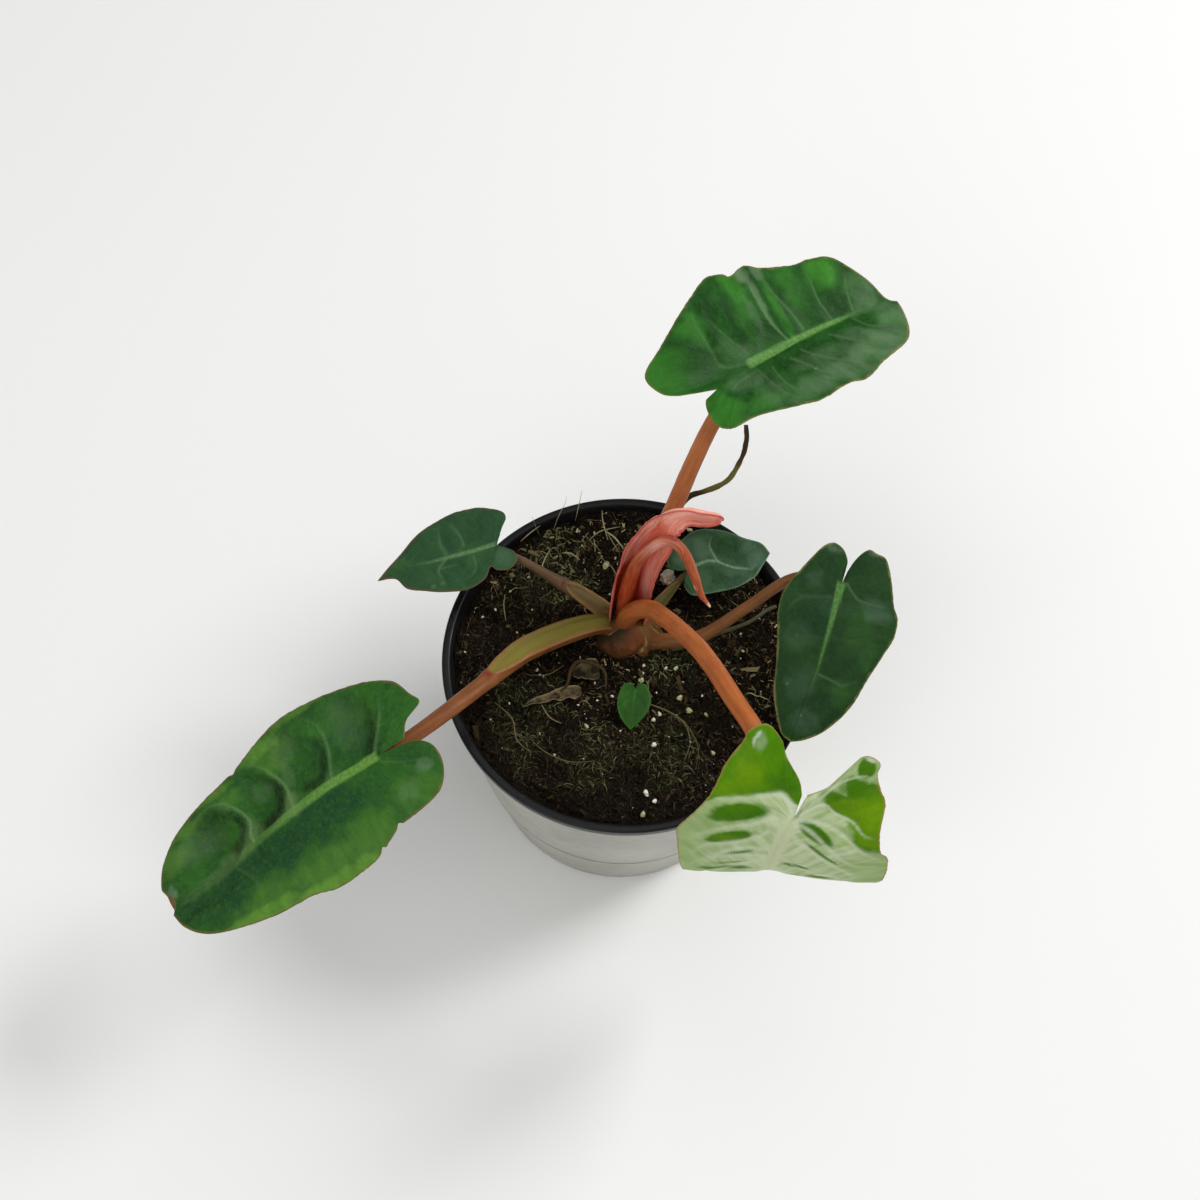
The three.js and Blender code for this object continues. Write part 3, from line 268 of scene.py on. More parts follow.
        left=[(-2.5, 0.5), (-5.5, 2), (-5.5, 5.5), (-3, 8.5), (1, 11), (5, 13), (10, 13), (16.5, 10.5),
              (21.5, 7), (26.5, 4), (28.5, 0)],
        right=[(-1, 2.5), (-2.5, 5.5), (-1, 9.5), (3.5, 10.5), (13, 10.5), (20.5, 8), (24.5, 4.5), (28.5, 0)],
        rib=[(0, 0.6), (3.4, 0.9), (7.3, 1.6), (10.4, 0.8), (12.7, -1.2), (15.6, -3), (20.8, -4.6),
             (28.5, 0)],
        rib_width=(0.5, 0.3), rib_fade=(0.55, 0.85), fold=(0.1, 0.1), droop=(0.12, 0.12), wave=(0.3, 0.3),
        waves=2, puff=(0.7, 2.6), vein_rise=-0.1, rays=130, steps=26,
        strokes=dict(vein=[([(10.9, 0.3), (9.8, 4.1), (9.5, 7.1), (11, 9.9)], 0.3, 0.55)]),
        patches=dict(
            deep=[(15.3, 5.2, 4.5, 3.6, 1.0), (9.2, -5, 4, 3, 0.7), (4, 5, 2.4, 3, 0.3)],
            bright=[(6.8, 9.1, 3, 2, 0.3)],
            web=[(10.5, 1, 3, 1.6, 0.5), (14, -1, 2.4, 1.4, 0.3)],
            painted_sheen=[(21.8, 2.9, 3, 2.4, 0.3), (3.5, 9.7, 4, 1.6, 0.3), (24, -2, 4, 4, 0.4),
                   (6, 6, 3, 4, 0.3), (0, 5, 4, 5, 0.35), (16, -4, 5, 3, 0.3), (4, -5, 3, 4, 0.2)])),
    "seedling_leaf": dict(
        seat=(3.3, -11.5, 91), heading=-95, slope=[(-4, -18), (0, -20), (13, -26)], length=13.3, fan=0.4,
        left=[(-2, 1), (-1.5, 3.5), (3, 5.5), (8, 4.2), (13.3, 0)],
        right=[(-2, 1.2), (-0.8, 4), (4.5, 5.3), (9.5, 3.7), (13.3, 0)],
        rib=[(0, 0), (13.3, 0)], rib_width=(0.3, 0.1), rib_fade=(0.1, 0.7), fold=(0.18, 0.18),
        droop=(0.1, 0.1), wave=(0, 0), waves=1, puff=(0.15, 1.0), vein_rise=-0.05, rays=64, steps=16,
        strokes=dict(vein=[([(2, 0), (4, -2.4), (6, -4)], 0.1, 0.15),
                           ([(2, 0), (4, 2.4), (6, 4)], 0.1, 0.15)]),
        patches=dict(deep=[(4, 2, 4, 2, 0.5)], bright=[(3, -3, 3, 2, 0.4)])),
}

LAMINA = 0.5                    # thickness of a blade between its veins
RIB_UNDER = 0.9                 # how far the rib stands out under the blade
DROOP_SPAN = 28.0               # distance from the rib at which a blade's droop is given
VEIN_SLANT = 0.12               # how far the side veins lag behind, as a share of their length
BLADE_UNIT = 100.0              # millimetres of a flat blade to one unit of its paint coordinates
TONES = ("bright", "deep", "web", "dark", "painted_sheen", "green")     # what patches and strokes may paint


# Small functions on whole arrays

def ease(low, high, x):
    """0 below low, 1 above high, and an S-shaped rise between them."""
    f = np.clip((x - low) / (high - low), 0, 1)
    return f * f * (3 - 2 * f)


def bell(x, width):
    """1 at x = 0, falling off evenly to both sides over about width."""
    return np.exp(-(x / width) ** 2)


def normalised(vectors):
    """Vectors of length 1 in the same directions."""
    length = np.linalg.norm(vectors, axis=-1, keepdims=True)
    return vectors / np.maximum(length, 1e-12)


def outline_curve(points, t):
    """Uniform Catmull-Rom curve through the points, with its end points doubled, at each t from 0 to 1."""
    points = np.asarray(points, float)
    last = len(points) - 1
    place = np.asarray(t, float) * last
    k = np.minimum(place.astype(int), last - 1)
    w = (place - k)[..., None]
    p0, p1 = points[np.maximum(k - 1, 0)], points[k]
    p2, p3 = points[k + 1], points[np.minimum(k + 2, last)]
    leave, arrive = (p2 - p0) / 2, (p3 - p1) / 2
    return ((2 * p1 - 2 * p2 + leave + arrive) * w ** 3 + (3 * p2 - 3 * p1 - 2 * leave - arrive) * w ** 2
            + leave * w + p1)


def even_curve(points, count):
    """A curve through the points cut into count even steps: (places, directions)."""
    fine = outline_curve(points, np.linspace(0, 1, 40 * len(points)))
    walked = np.concatenate([[0], np.cumsum(np.linalg.norm(np.diff(fine, axis=0), axis=1))])
    even = np.linspace(0, walked[-1], count + 1)
    places = np.stack([np.interp(even, walked, fine[:, axis]) for axis in range(3)], axis=1)
    return places, normalised(np.gradient(places, axis=0))


def full_turn(count):
    """Angles in even steps round a circle."""
    return np.linspace(0, 2 * np.pi, count, endpoint=False)


def spaced(values, count):
    """Evenly spaced values stretched over count + 1 places."""
    return np.interp(np.linspace(0, 1, count + 1), np.linspace(0, 1, len(values)), values)


LATTICE = 64                    # random values along each side of the lattice, before it repeats
LATTICE_SHIFT = 1000.5          # cells by which it is moved, so that no corner lies on the middle


def uneven(x, y, size, seed):
    """Smooth random heights from -1 to 1: random values on a square lattice, eased between its corners."""
    table = np.random.default_rng(seed).uniform(-1, 1, (LATTICE, LATTICE))
    gx, gy = x / size + LATTICE_SHIFT, y / size + LATTICE_SHIFT
    ix, iy = np.floor(gx).astype(int), np.floor(gy).astype(int)
    fx, fy = ease(0, 1, gx - ix), ease(0, 1, gy - iy)
    near, far = [table[ix % LATTICE, j % LATTICE] * (1 - fx) + table[(ix + 1) % LATTICE, j % LATTICE] * fx
                 for j in (iy, iy + 1)]
    return near * (1 - fy) + far * fy


# Meshes

FOOT_WELD = 0.005 * MM          # points closer than this are one, on forms with a fine foot or tip


def into_scene(item):
    """Puts a mesh, light or camera into the scene."""
    bpy.context.scene.collection.objects.link(item)


def make_piece(name, points, faces, masks, material, replaces=(), smooth=True, uv=None):
    """A mesh object in place from points in millimetres, with a mask per vertex for its material."""
    mesh = bpy.data.meshes.new(name)
    mesh.from_pydata((np.asarray(points) * MM).tolist(), [], [list(map(int, f)) for f in faces])
    mesh.update()
    for key, values in masks.items():
        attribute = mesh.attributes.new(key, "FLOAT", "POINT")
        attribute.data.foreach_set("value", np.ascontiguousarray(values, np.float32).ravel())
    if uv is not None:
        corners = np.empty(len(mesh.loops), np.int32)
        mesh.loops.foreach_get("vertex_index", corners)
        layer = mesh.uv_layers.new(name="flat")
        layer.data.foreach_set("uv", np.ascontiguousarray(uv[corners], np.float32).ravel())
    mesh.polygons.foreach_set("use_smooth", np.full(len(mesh.polygons), smooth))
    mesh.materials.append(material)
    piece = bpy.data.objects.new(name, mesh)
    into_scene(piece)
    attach(piece, BODY)
    if replaces:
        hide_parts(*replaces)
    return piece


def grid_faces(rows, columns, start=0, wrap=False):
    """Quads of a grid of points stored row by row. With wrap, the last column joins the first."""
    i = np.arange(rows - 1)[:, None]
    j = np.arange(columns if wrap else columns - 1)[None, :]
    after = (j + 1) % columns
    corners = [i * columns + j, (i + 1) * columns + j, (i + 1) * columns + after, i * columns + after]
    return np.stack([c + start for c in np.broadcast_arrays(*corners)], axis=-1).reshape(-1, 4)


def closed_rings(rows, columns):
    """Faces of a round form: rings of points row by row, then the middle of its foot and of its tip."""
    faces = [list(q) for q in grid_faces(rows, columns, wrap=True)]
    foot, tip, last = rows * columns, rows * columns + 1, (rows - 1) * columns
    for k in range(columns):
        after = (k + 1) % columns
        faces.append([foot, k, after])
        faces.append([tip, last + after, last + k])
    return faces


def sheet_shell(upper, lower):
    """Points and faces of a closed thin sheet between two grids of the same size, with a wall all round."""
    rows, columns = upper.shape[:2]
    size = rows * columns
    top = grid_faces(rows, columns)
    bottom = grid_faces(rows, columns, size)[:, ::-1]
    ring = np.concatenate([
        np.arange(columns), np.arange(1, rows) * columns + columns - 1,
        (rows - 1) * columns + np.arange(columns - 2, -1, -1), np.arange(rows - 2, 0, -1) * columns])
    after = np.roll(ring, -1)
    wall = np.stack([ring, after, after + size, ring + size], axis=1)
    points = np.concatenate([upper.reshape(-1, 3), lower.reshape(-1, 3)])
    return points, np.concatenate([top, bottom, wall])


def welded(piece, gap=0.02 * MM):
    """Merges doubled points, drops faces without area, and turns all faces outwards."""
    work = bmesh.new()
    work.from_mesh(piece.data)
    bmesh.ops.remove_doubles(work, verts=work.verts, dist=gap)
    bmesh.ops.dissolve_degenerate(work, edges=work.edges, dist=gap / 4)
    bmesh.ops.recalc_face_normals(work, faces=work.faces)
    work.to_mesh(piece.data)
    work.free()


# Wiring of materials

def linear(hex_colour):
    """A screen colour such as '#2f6b2a' as the light values that a shader takes."""
    parts = [int(hex_colour[k:k + 2], 16) / 255 for k in (1, 3, 5)]
    return [p / 12.92 if p <= 0.04045 else ((p + 0.055) / 1.055) ** 2.4 for p in parts] + [1.0]


class Wiring:
    """Adds nodes to one material or group. Each call returns the new node's result."""

    def __init__(self, tree):
        self.tree = tree

    def node(self, kind, inputs=(), **settings):
        """A new node of the kind, with settings and with inputs from sockets or constants."""
        made = self.tree.nodes.new(kind)
        for key, value in settings.items():
            setattr(made, key, value)
        for key, value in dict(inputs).items():
            self.feed(made.inputs[key], value)
        return made

    def feed(self, socket, value):
        """Links the socket to another one, or sets its constant."""
        if isinstance(value, bpy.types.NodeSocket):
            self.tree.links.new(value, socket)
        else:
            socket.default_value = value

    def math(self, operation, a, b):
        return self.node("ShaderNodeMath", {0: a, 1: b}, operation=operation).outputs[0]

    def times(self, a, b):
        return self.math("MULTIPLY", a, b)

    def plus(self, a, b):
        return self.math("ADD", a, b)

    def ramp(self, value, low, high, at_low=0.0, at_high=1.0):
        """An S-shaped change from at_low to at_high while value goes from low to high."""
        inputs = {"Value": value, "From Min": low, "From Max": high, "To Min": at_low, "To Max": at_high}
        return self.node("ShaderNodeMapRange", inputs, interpolation_type="SMOOTHSTEP").outputs[0]

    def paint(self, share, under, over):
        """The colour under, covered by the colour over where share is 1."""
        made = self.node("ShaderNodeMix", data_type="RGBA")
        for key, value in ((0, share), (6, under), (7, over)):
            self.feed(made.inputs[key], linear(value) if isinstance(value, str) else value)
        return made.outputs[2]

    def shade(self, share, colour, factor):
        """The colour multiplied by factor where share is 1."""
        made = self.node("ShaderNodeMix", data_type="RGBA", blend_type="MULTIPLY")
        for key, value in ((0, share), (6, colour), (7, (factor, factor, factor, 1.0))):
            self.feed(made.inputs[key], value)
        return made.outputs[2]

    def mask(self, name):
        """A mask stored on the piece's points."""
        return self.node("ShaderNodeAttribute", attribute_name=name).outputs["Fac"]

    def place(self, flat=False):
        """Where a point lies in space, or with flat on the sheet rolled out."""
        return self.node("ShaderNodeTexCoord").outputs["UV" if flat else "Object"]

    def noise(self, vector, size, detail):
        """Cloudy noise whose patches are about size metres across."""
        inputs = {"Vector": vector, "Scale": 1 / size, "Detail": detail}
        return self.node("ShaderNodeTexNoise", inputs).outputs["Fac"]

    def rays(self, size, detail=4.0):
        """Noise in streaks about size millimetres wide that run out from a blade's rib to its margin."""
        outwards = self.times(self.mask("out"), 6.0)
        across = self.node("ShaderNodeCombineXYZ", {0: self.mask("ray"), 1: outwards}).outputs[0]
        return self.noise(across, size, detail)

    def cells(self, vector, size):
        """Distance to the middle of the nearest of many random cells about size metres across."""
        return self.node("ShaderNodeTexVoronoi", {"Vector": vector, "Scale": 1 / size}).outputs["Distance"]

    def group(self, group, **inputs):
        """The outputs of a node group fed with the inputs."""
        made = self.tree.nodes.new("ShaderNodeGroup")
        made.node_tree = group
        for key, value in inputs.items():
            self.feed(made.inputs[key], value)
        return made.outputs


def new_group(name, inputs, outputs):
    """An empty shader group with named sockets: (group, wiring, input node, output node)."""
    group = bpy.data.node_groups.new(name, "ShaderNodeTree")
    for key, (kind, value) in inputs.items():
        socket = group.interface.new_socket(key, in_out="INPUT", socket_type=kind)
        if value is not None:
            socket.default_value = value
    for key, kind in outputs.items():
        group.interface.new_socket(key, in_out="OUTPUT", socket_type=kind)
    wiring = Wiring(group)
    return group, wiring, wiring.node("NodeGroupInput"), wiring.node("NodeGroupOutput")


def mottle_group():
    """Blotches of two sizes: large soft ones with small ones inside, as a mask from 0 to 1."""
    group, w, given, result = new_group(
        "mottle", {"Vector": ("NodeSocketVector", None), "Scale": ("NodeSocketFloat", 80.0)},
        {"Mask": "NodeSocketFloat"})
    vector, scale = given.outputs[:2]
    broad = w.node("ShaderNodeTexNoise", {"Vector": vector, "Scale": scale, "Detail": 2.0})
    fine = w.node("ShaderNodeTexNoise", {"Vector": vector, "Scale": w.times(scale, 5.3), "Detail": 4.0})
    both = w.plus(w.times(broad.outputs["Fac"], 0.65), w.times(fine.outputs["Fac"], 0.35))
    w.feed(result.inputs[0], w.ramp(both, 0.36, 0.64))
    return group


def net_group():
    """The fine net of veins in a blade: lines between cells of two sizes, as a mask and a height."""
    group, w, given, result = new_group(
        "vein_net", {"Vector": ("NodeSocketVector", None), "Scale": ("NodeSocketFloat", 450.0)},
        {"Lines": "NodeSocketFloat", "Height": "NodeSocketFloat"})
    vector, scale = given.outputs[:2]
    wide, tight = [
        w.node("ShaderNodeTexVoronoi", {"Vector": vector, "Scale": size},
               feature="DISTANCE_TO_EDGE").outputs["Distance"]
        for size in (scale, w.times(scale, 3.1))]
    lines = w.math("MAXIMUM", w.ramp(wide, 0.0, 0.11, 1.0, 0.0), w.ramp(tight, 0.0, 0.1, 0.45, 0.0))
    w.feed(result.inputs[0], lines)
    w.feed(result.inputs[1], w.math("SUBTRACT", 1.0, lines))
    return group


def relief_group():
    """A bumped normal from a height, for a skin relief of the given depth in metres."""
    group, w, given, result = new_group(
        "skin_relief", {"Height": ("NodeSocketFloat", 0.5), "Depth": ("NodeSocketFloat", 0.0001)},
        {"Normal": "NodeSocketVector"})
    height, depth = given.outputs[:2]
    bump = w.node("ShaderNodeBump", {"Height": height, "Distance": depth, "Strength": 1.0})
    w.feed(result.inputs[0], bump.outputs["Normal"])
    return group


MOTTLE = mottle_group()
NET = net_group()
RELIEF = relief_group()


def new_material(name):
    """An empty material: (material, wiring, shader)."""
    material = bpy.data.materials.new(name)
    material.use_nodes = True
    return material, Wiring(material.node_tree), material.node_tree.nodes["Principled BSDF"]


def feed_shader(w, shader, colour, rough, height, depth, specular=0.5):
    """Gives the shader its colour, roughness, a skin relief of the given depth in metres, and its shine."""
    shader.inputs["Specular IOR Level"].default_value = specular
    w.feed(shader.inputs["Base Color"], colour)
    w.feed(shader.inputs["Roughness"], rough)
    w.feed(shader.inputs["Normal"], w.group(RELIEF, Height=height, Depth=depth)[0])


# Materials

def leaf_paint(name, mid, bright, deep, dark, web, vein, rib, rim, painted_sheen, gloss):
    """A blade: each tone covers the ones before it where its mask is. Streaks along the side veins and
    mottling break up every edge."""
    material, w, shader = new_material(name)
    flat = w.place(flat=True)
    blotch = w.group(MOTTLE, Vector=flat, Scale=9.0)[0]
    speckle = w.noise(flat, 0.012, detail=6.0)
    flecks = w.noise(flat, 0.007, detail=3.0)
    broad, fine = w.rays(2.2), w.rays(0.7)
    net = w.group(NET, Vector=flat, Scale=42.0)
    colour = w.paint(w.ramp(blotch, 0.0, 1.0, 0.0, 0.55), mid, deep)
    # dark is painted shade: in creases and folds, by the stalk and on the walls of the dishes
    for key, tone in (("bright", bright), ("deep", deep), ("web", web), ("dark", dark)):
        share = w.times(w.mask(key), w.ramp(blotch, 0.0, 1.0, 0.72, 1.0))
        colour = w.paint(share, colour, tone)
    colour = w.paint(w.ramp(fine, 0.5, 0.75, 0.0, 0.1), colour, bright)
    colour = w.paint(w.ramp(speckle, 0.5, 0.7, 0.0, 0.16), colour, bright)
    colour = w.shade(w.ramp(broad, 0.35, 0.7, 0.0, 0.5), colour, 0.66)
    colour = w.shade(w.ramp(fine, 0.6, 0.3, 0.0, 0.2), colour, 0.75)
    colour = w.shade(w.ramp(speckle, 0.4, 0.7, 0.0, 0.4), colour, 0.68)
    colour = w.paint(w.times(net[0], 0.05), colour, vein)
    # painted_sheen: painted highlights and sheen, broken up by the streaks
    colour = w.paint(w.times(w.mask("painted_sheen"), w.ramp(broad, 0.3, 0.7, 0.5, 1.0)), colour, painted_sheen)
    colour = w.paint(w.times(w.mask("vein"), w.ramp(flecks, 0.3, 0.6, 0.65, 1.0)), colour, vein)
    colour = w.paint(w.times(w.mask("rib"), w.ramp(speckle, 0.3, 0.65, 1.0, 0.6)), colour, rib)
    colour = w.paint(w.times(w.mask("rim"), w.ramp(speckle, 0.3, 0.6, 0.4, 1.0)), colour, rim)
    colour = w.paint(w.mask("under"), colour, "#66805a")
    rough = w.plus(w.ramp(speckle, 0.3, 0.7, gloss - 0.05, gloss + 0.09), w.times(w.mask("under"), 0.2))
    height = w.plus(net[1], w.plus(w.times(broad, 2.5), fine))
    feed_shader(w, shader, colour, rough, height, 0.00004, 0.09)
    return material


def new_leaf_paint():
    """The newest blade: whitish green with streaks out from the rib, partly its own pale colour and partly
    painted reflection, clear green ovals and lobe.
    """
    material, w, shader = new_material("leaf_new_pale_and_sheen")
    flat = w.place(flat=True)
    blotch = w.group(MOTTLE, Vector=flat, Scale=12.0)[0]
    speckle = w.noise(flat, 0.01, detail=6.0)
    broad, fine = w.rays(2.0), w.rays(0.8)
    net = w.group(NET, Vector=flat, Scale=48.0)
    # whitish streaks out from the rib: partly the leaf's own pale colour, partly painted reflection of the
    # white surroundings
    pale_and_sheen = w.paint(w.ramp(broad, 0.3, 0.7), "#8faa68", "#a4b982")
    white = w.times(w.mask("web"), w.ramp(broad, 0.36, 0.64, 0.3, 0.9))
    pale_and_sheen = w.paint(white, pale_and_sheen, "#c8d3ae")
    clear = w.paint(w.mask("lobe"), "#427400", "#4f8400")
    clear = w.paint(w.times(w.mask("bright"), w.ramp(blotch, 0.0, 1.0, 0.7, 1.0)), clear, "#6c9500")
    clear = w.paint(w.times(w.mask("deep"), w.ramp(blotch, 0.0, 1.0, 0.7, 1.0)), clear, "#336800")
    clear = w.shade(w.ramp(broad, 0.35, 0.7, 0.0, 0.3), clear, 0.7)
    edge = w.plus(w.mask("green"), w.times(w.math("SUBTRACT", fine, 0.5), 0.4))
    colour = w.paint(w.ramp(edge, 0.12, 0.8), pale_and_sheen, clear)
    # dark: painted shade in the crease by the stalk
    colour = w.paint(w.mask("dark"), colour, "#46603a")
    colour = w.paint(w.times(net[0], 0.015), colour, "#c9d6ae")
    colour = w.paint(w.times(w.mask("vein"), w.ramp(fine, 0.3, 0.6, 0.6, 1.0)), colour, "#d0dabb")
    colour = w.paint(w.times(w.mask("rib"), 0.95), colour, "#c3cca4")
    # painted_sheen: painted highlights on the lobe and at the nub
    colour = w.paint(w.mask("painted_sheen"), colour, "#eef3e4")
    colour = w.paint(w.times(w.mask("rim"), w.ramp(speckle, 0.3, 0.6, 0.55, 1.0)), colour, "#a8804a")
    colour = w.paint(w.mask("under"), colour, "#86a35e")
    height = w.plus(net[1], w.plus(w.times(broad, 2.5), fine))
    feed_shader(w, shader, colour, w.ramp(w.mask("lobe"), 0.0, 1.0, 0.5, 0.34), height, 0.00004, 0.08)
    return material


def stalk_paint(name, skin, shadow, channel, collar, gloss):
    """A stalk: streaked skin, darker at its foot, olive in an open sheath, reddish at a collar."""
    material, w, shader = new_material(name)
    place = w.place()
    streaks = w.noise(w.place(flat=True), 0.03, detail=5.0)
    grain = w.noise(place, 0.0009, detail=4.0)
    blotch = w.group(MOTTLE, Vector=place, Scale=120.0)[0]
    colour = w.paint(w.ramp(streaks, 0.3, 0.7, 0.0, 0.75), skin, shadow)
    colour = w.shade(w.ramp(blotch, 0.2, 0.9, 0.0, 0.5), colour, 0.82)
    colour = w.paint(w.times(w.mask("channel"), w.ramp(streaks, 0.3, 0.7, 1.0, 0.8)), colour, channel)
    colour = w.paint(w.mask("edge"), colour, "#a27a4a")
    colour = w.paint(w.mask("collar"), colour, collar)
    colour = w.shade(w.mask("foot"), colour, 0.45)
    rough = w.ramp(grain, 0.3, 0.7, gloss - 0.04, gloss + 0.12)
    feed_shader(w, shader, colour, rough, w.plus(w.times(streaks, 2.0), grain), 0.00004, 0.14)
    return material


def sheath_paint():
    """Sheath and spike: satin pink outside, deep red-orange inside with painted shade in the trough, paler at
    the fold, painted pale on the inner wall where light shines through, coral on the spike.
    """
    material, w, shader = new_material("sheath_pink")
    place = w.place()
    streaks = w.noise(w.place(flat=True), 0.02, detail=5.0)
    grain = w.noise(place, 0.0011, detail=4.0)
    colour = w.paint(w.ramp(streaks, 0.3, 0.7), "#d9694c", "#ec9078")
    colour = w.paint(w.mask("coral"), colour, w.paint(w.ramp(streaks, 0.35, 0.65), "#a5502f", "#bd6845"))
    # inner: deep red-orange in the trough, partly its own colour and partly painted shade
    colour = w.paint(w.mask("inner"), colour, w.paint(w.ramp(streaks, 0.3, 0.7), "#a83c1e", "#ba5a32"))
    # pale: paler fold and flap, and the inner wall painted pale where light shines through it
    colour = w.paint(w.mask("pale"), colour, w.paint(w.ramp(streaks, 0.3, 0.7), "#f2a694", "#fdcdbd"))
    colour = w.paint(w.mask("edge"), colour, "#bd5253")
    colour = w.paint(w.mask("cream"), colour, "#e6c9ae")
    colour = w.shade(w.mask("foot"), colour, 0.6)
    feed_shader(w, shader, colour, w.ramp(grain, 0.3, 0.7, 0.4, 0.55), w.plus(streaks, grain), 0.00004, 0.14)
    shader.inputs["Subsurface Weight"].default_value = 0.35
    shader.inputs["Subsurface Radius"].default_value = (1.0, 0.35, 0.25)
    shader.inputs["Subsurface Scale"].default_value = 0.002
    return material


def crown_paint():
    """Old sheath bases: dark olive brown, red-brown and ochre, with a thin cream line on each free edge."""
    material, w, shader = new_material("crown_sheaths")
    place = w.place()
    streaks = w.noise(w.place(flat=True), 0.02, detail=5.0)
    blotch = w.group(MOTTLE, Vector=place, Scale=160.0)[0]
    grain = w.noise(place, 0.0008, detail=4.0)
    colour = w.paint(w.mask("tone"), "#2c2312", "#764223")
    colour = w.paint(w.mask("ochre"), colour, "#6c4a22")
    colour = w.shade(w.ramp(streaks, 0.35, 0.7, 0.0, 0.3), colour, 0.7)
    colour = w.shade(w.ramp(blotch, 0.1, 0.9, 0.0, 0.4), colour, 0.7)
    colour = w.paint(w.times(w.mask("edge"), w.ramp(grain, 0.3, 0.6, 0.5, 1.0)), colour, "#b48f66")
    height = w.plus(w.times(streaks, 2.0), grain)
    feed_shader(w, shader, colour, w.ramp(grain, 0.3, 0.7, 0.5, 0.68), height, 0.00012, 0.15)
    return material


def dry_paint(name, dark, light, edge):
    """Dead plant matter: matt, blotched from dark to light, paler at its edges."""
    material, w, shader = new_material(name)
    place = w.place()
    blotch = w.group(MOTTLE, Vector=place, Scale=260.0)[0]
    grain = w.noise(place, 0.0006, detail=5.0)
    colour = w.paint(w.mask("tone"), dark, light)
    colour = w.shade(blotch, colour, 0.55)
    colour = w.paint(w.times(w.mask("edge"), w.ramp(grain, 0.3, 0.7, 0.3, 0.9)), colour, edge)
    feed_shader(w, shader, colour, w.ramp(grain, 0.3, 0.7, 0.65, 0.9), grain, 0.00015)
    return material


def soil_paint():
    """Damp potting mix: near-black brown crumbs, brown fibre, olive moss on the heights of its patches, and
    painted shade in its hollows.
    """
    material, w, shader = new_material("potting_mix")
    place = w.place()
    crumbs = w.cells(place, 0.0011)
    grain = w.noise(place, 0.0008, detail=6.0)
    blotch = w.group(MOTTLE, Vector=place, Scale=150.0)[0]
    colour = w.paint(w.ramp(grain, 0.35, 0.72), "#080604", "#20180d")
    colour = w.paint(w.times(blotch, w.ramp(crumbs, 0.1, 0.6, 0.7, 0.0)), colour, "#2e2013")
    moss = w.times(w.mask("moss"), w.ramp(grain, 0.42, 0.62))
    colour = w.paint(w.times(moss, 0.75), colour, "#34341a")
    # painted shade: darker in the hollows of the mix's surface
    colour = w.shade(w.mask("low"), colour, 0.3)
    height = w.plus(w.times(grain, 1.4), crumbs)
    feed_shader(w, shader, colour, w.ramp(grain, 0.3, 0.7, 0.7, 0.95), height, 0.0005, 0.1)
    return material


def fibre_paint():
    """Loose strands, chips and moss on the mix, each strand with its own tone from black-brown to straw."""
    material, w, shader = new_material("mix_fibre")
    grain = w.noise(w.place(), 0.0005, detail=4.0)
    tone = w.mask("tone")
    colour = w.paint(w.ramp(tone, 0.0, 0.5), "#140f08", "#463721")
    colour = w.paint(w.ramp(tone, 0.5, 0.85), colour, "#857a55")
    colour = w.paint(w.ramp(tone, 0.85, 1.0), colour, "#c8bd94")
    colour = w.paint(w.mask("moss"), colour, w.paint(tone, "#1c1f0e", "#9fa26f"))
    colour = w.shade(w.ramp(grain, 0.3, 0.7, 0.0, 0.6), colour, 0.6)
    feed_shader(w, shader, colour, w.ramp(grain, 0.3, 0.7, 0.6, 0.85), grain, 0.0001, 0.15)
    return material


def perlite_paint():
    """White porous grains, some stained cream, with painted shade in their pits."""
    material, w, shader = new_material("perlite_white")
    place = w.place()
    pits = w.cells(place, 0.0006)
    stain = w.noise(place, 0.0012, detail=5.0)
    colour = w.paint(w.mask("tone"), "#fdf9e6", "#b4b87c")
    colour = w.paint(w.ramp(stain, 0.5, 0.75, 0.0, 0.5), colour, "#a39a78")
    # painted shade in the pits
    colour = w.shade(w.ramp(pits, 0.0, 0.35, 0.4, 0.0), colour, 0.65)
    feed_shader(w, shader, colour, w.ramp(pits, 0.0, 0.5, 0.95, 0.75), pits, 0.0003)
    return material


def pot_paint():
    """Two-tone pot: satin light grey wall with a thin line of painted shade at its step, black flange and
    inside, faint scuffs and dust.
    """
    material, w, shader = new_material("pot_plastic")
    place = w.place()
    cloud = w.noise(place, 0.03, detail=3.0)
    flattened = w.node("ShaderNodeMapping", {"Vector": place, "Scale": (1.0, 1.0, 9.0)}).outputs[0]
    scuffs = w.noise(flattened, 0.004, detail=7.0)
    grain = w.noise(place, 0.0006, detail=3.0)
    grey = w.paint(w.ramp(cloud, 0.3, 0.7), "#a09e94", "#b3b1a6")
    grey = w.paint(w.ramp(scuffs, 0.5, 0.7, 0.0, 0.4), grey, "#8b8982")
    # painted shade: a thin dark line under the step's overhang
    grey = w.paint(w.times(w.mask("step_shade"), w.ramp(scuffs, 0.3, 0.6, 0.85, 1.0)), grey, "#2b2a26")
    black = w.paint(w.ramp(cloud, 0.35, 0.65), "#08090a", "#101113")
    black = w.paint(w.ramp(scuffs, 0.58, 0.8, 0.0, 0.35), black, "#3a3b3d")
    dust = w.times(w.mask("inside"), w.ramp(grain, 0.5, 0.75))
    black = w.paint(w.times(dust, 0.5), black, "#3b3226")
    rough = w.plus(w.ramp(scuffs, 0.3, 0.8, 0.3, 0.48), w.times(w.mask("inside"), 0.2))
    feed_shader(w, shader, w.paint(w.mask("black"), grey, black), rough, grain, 0.00002, 0.25)
    return material


def floor_paint():
    """A white floor with the faintest clouds."""
    material, w, shader = new_material("studio_floor")
    soft = w.noise(w.place(), 0.4, detail=2.0)
    w.feed(shader.inputs["Base Color"], w.paint(soft, "#f4f4f3", "#f8f8f7"))
    shader.inputs["Roughness"].default_value = 0.9
    return material


# Leaf blades

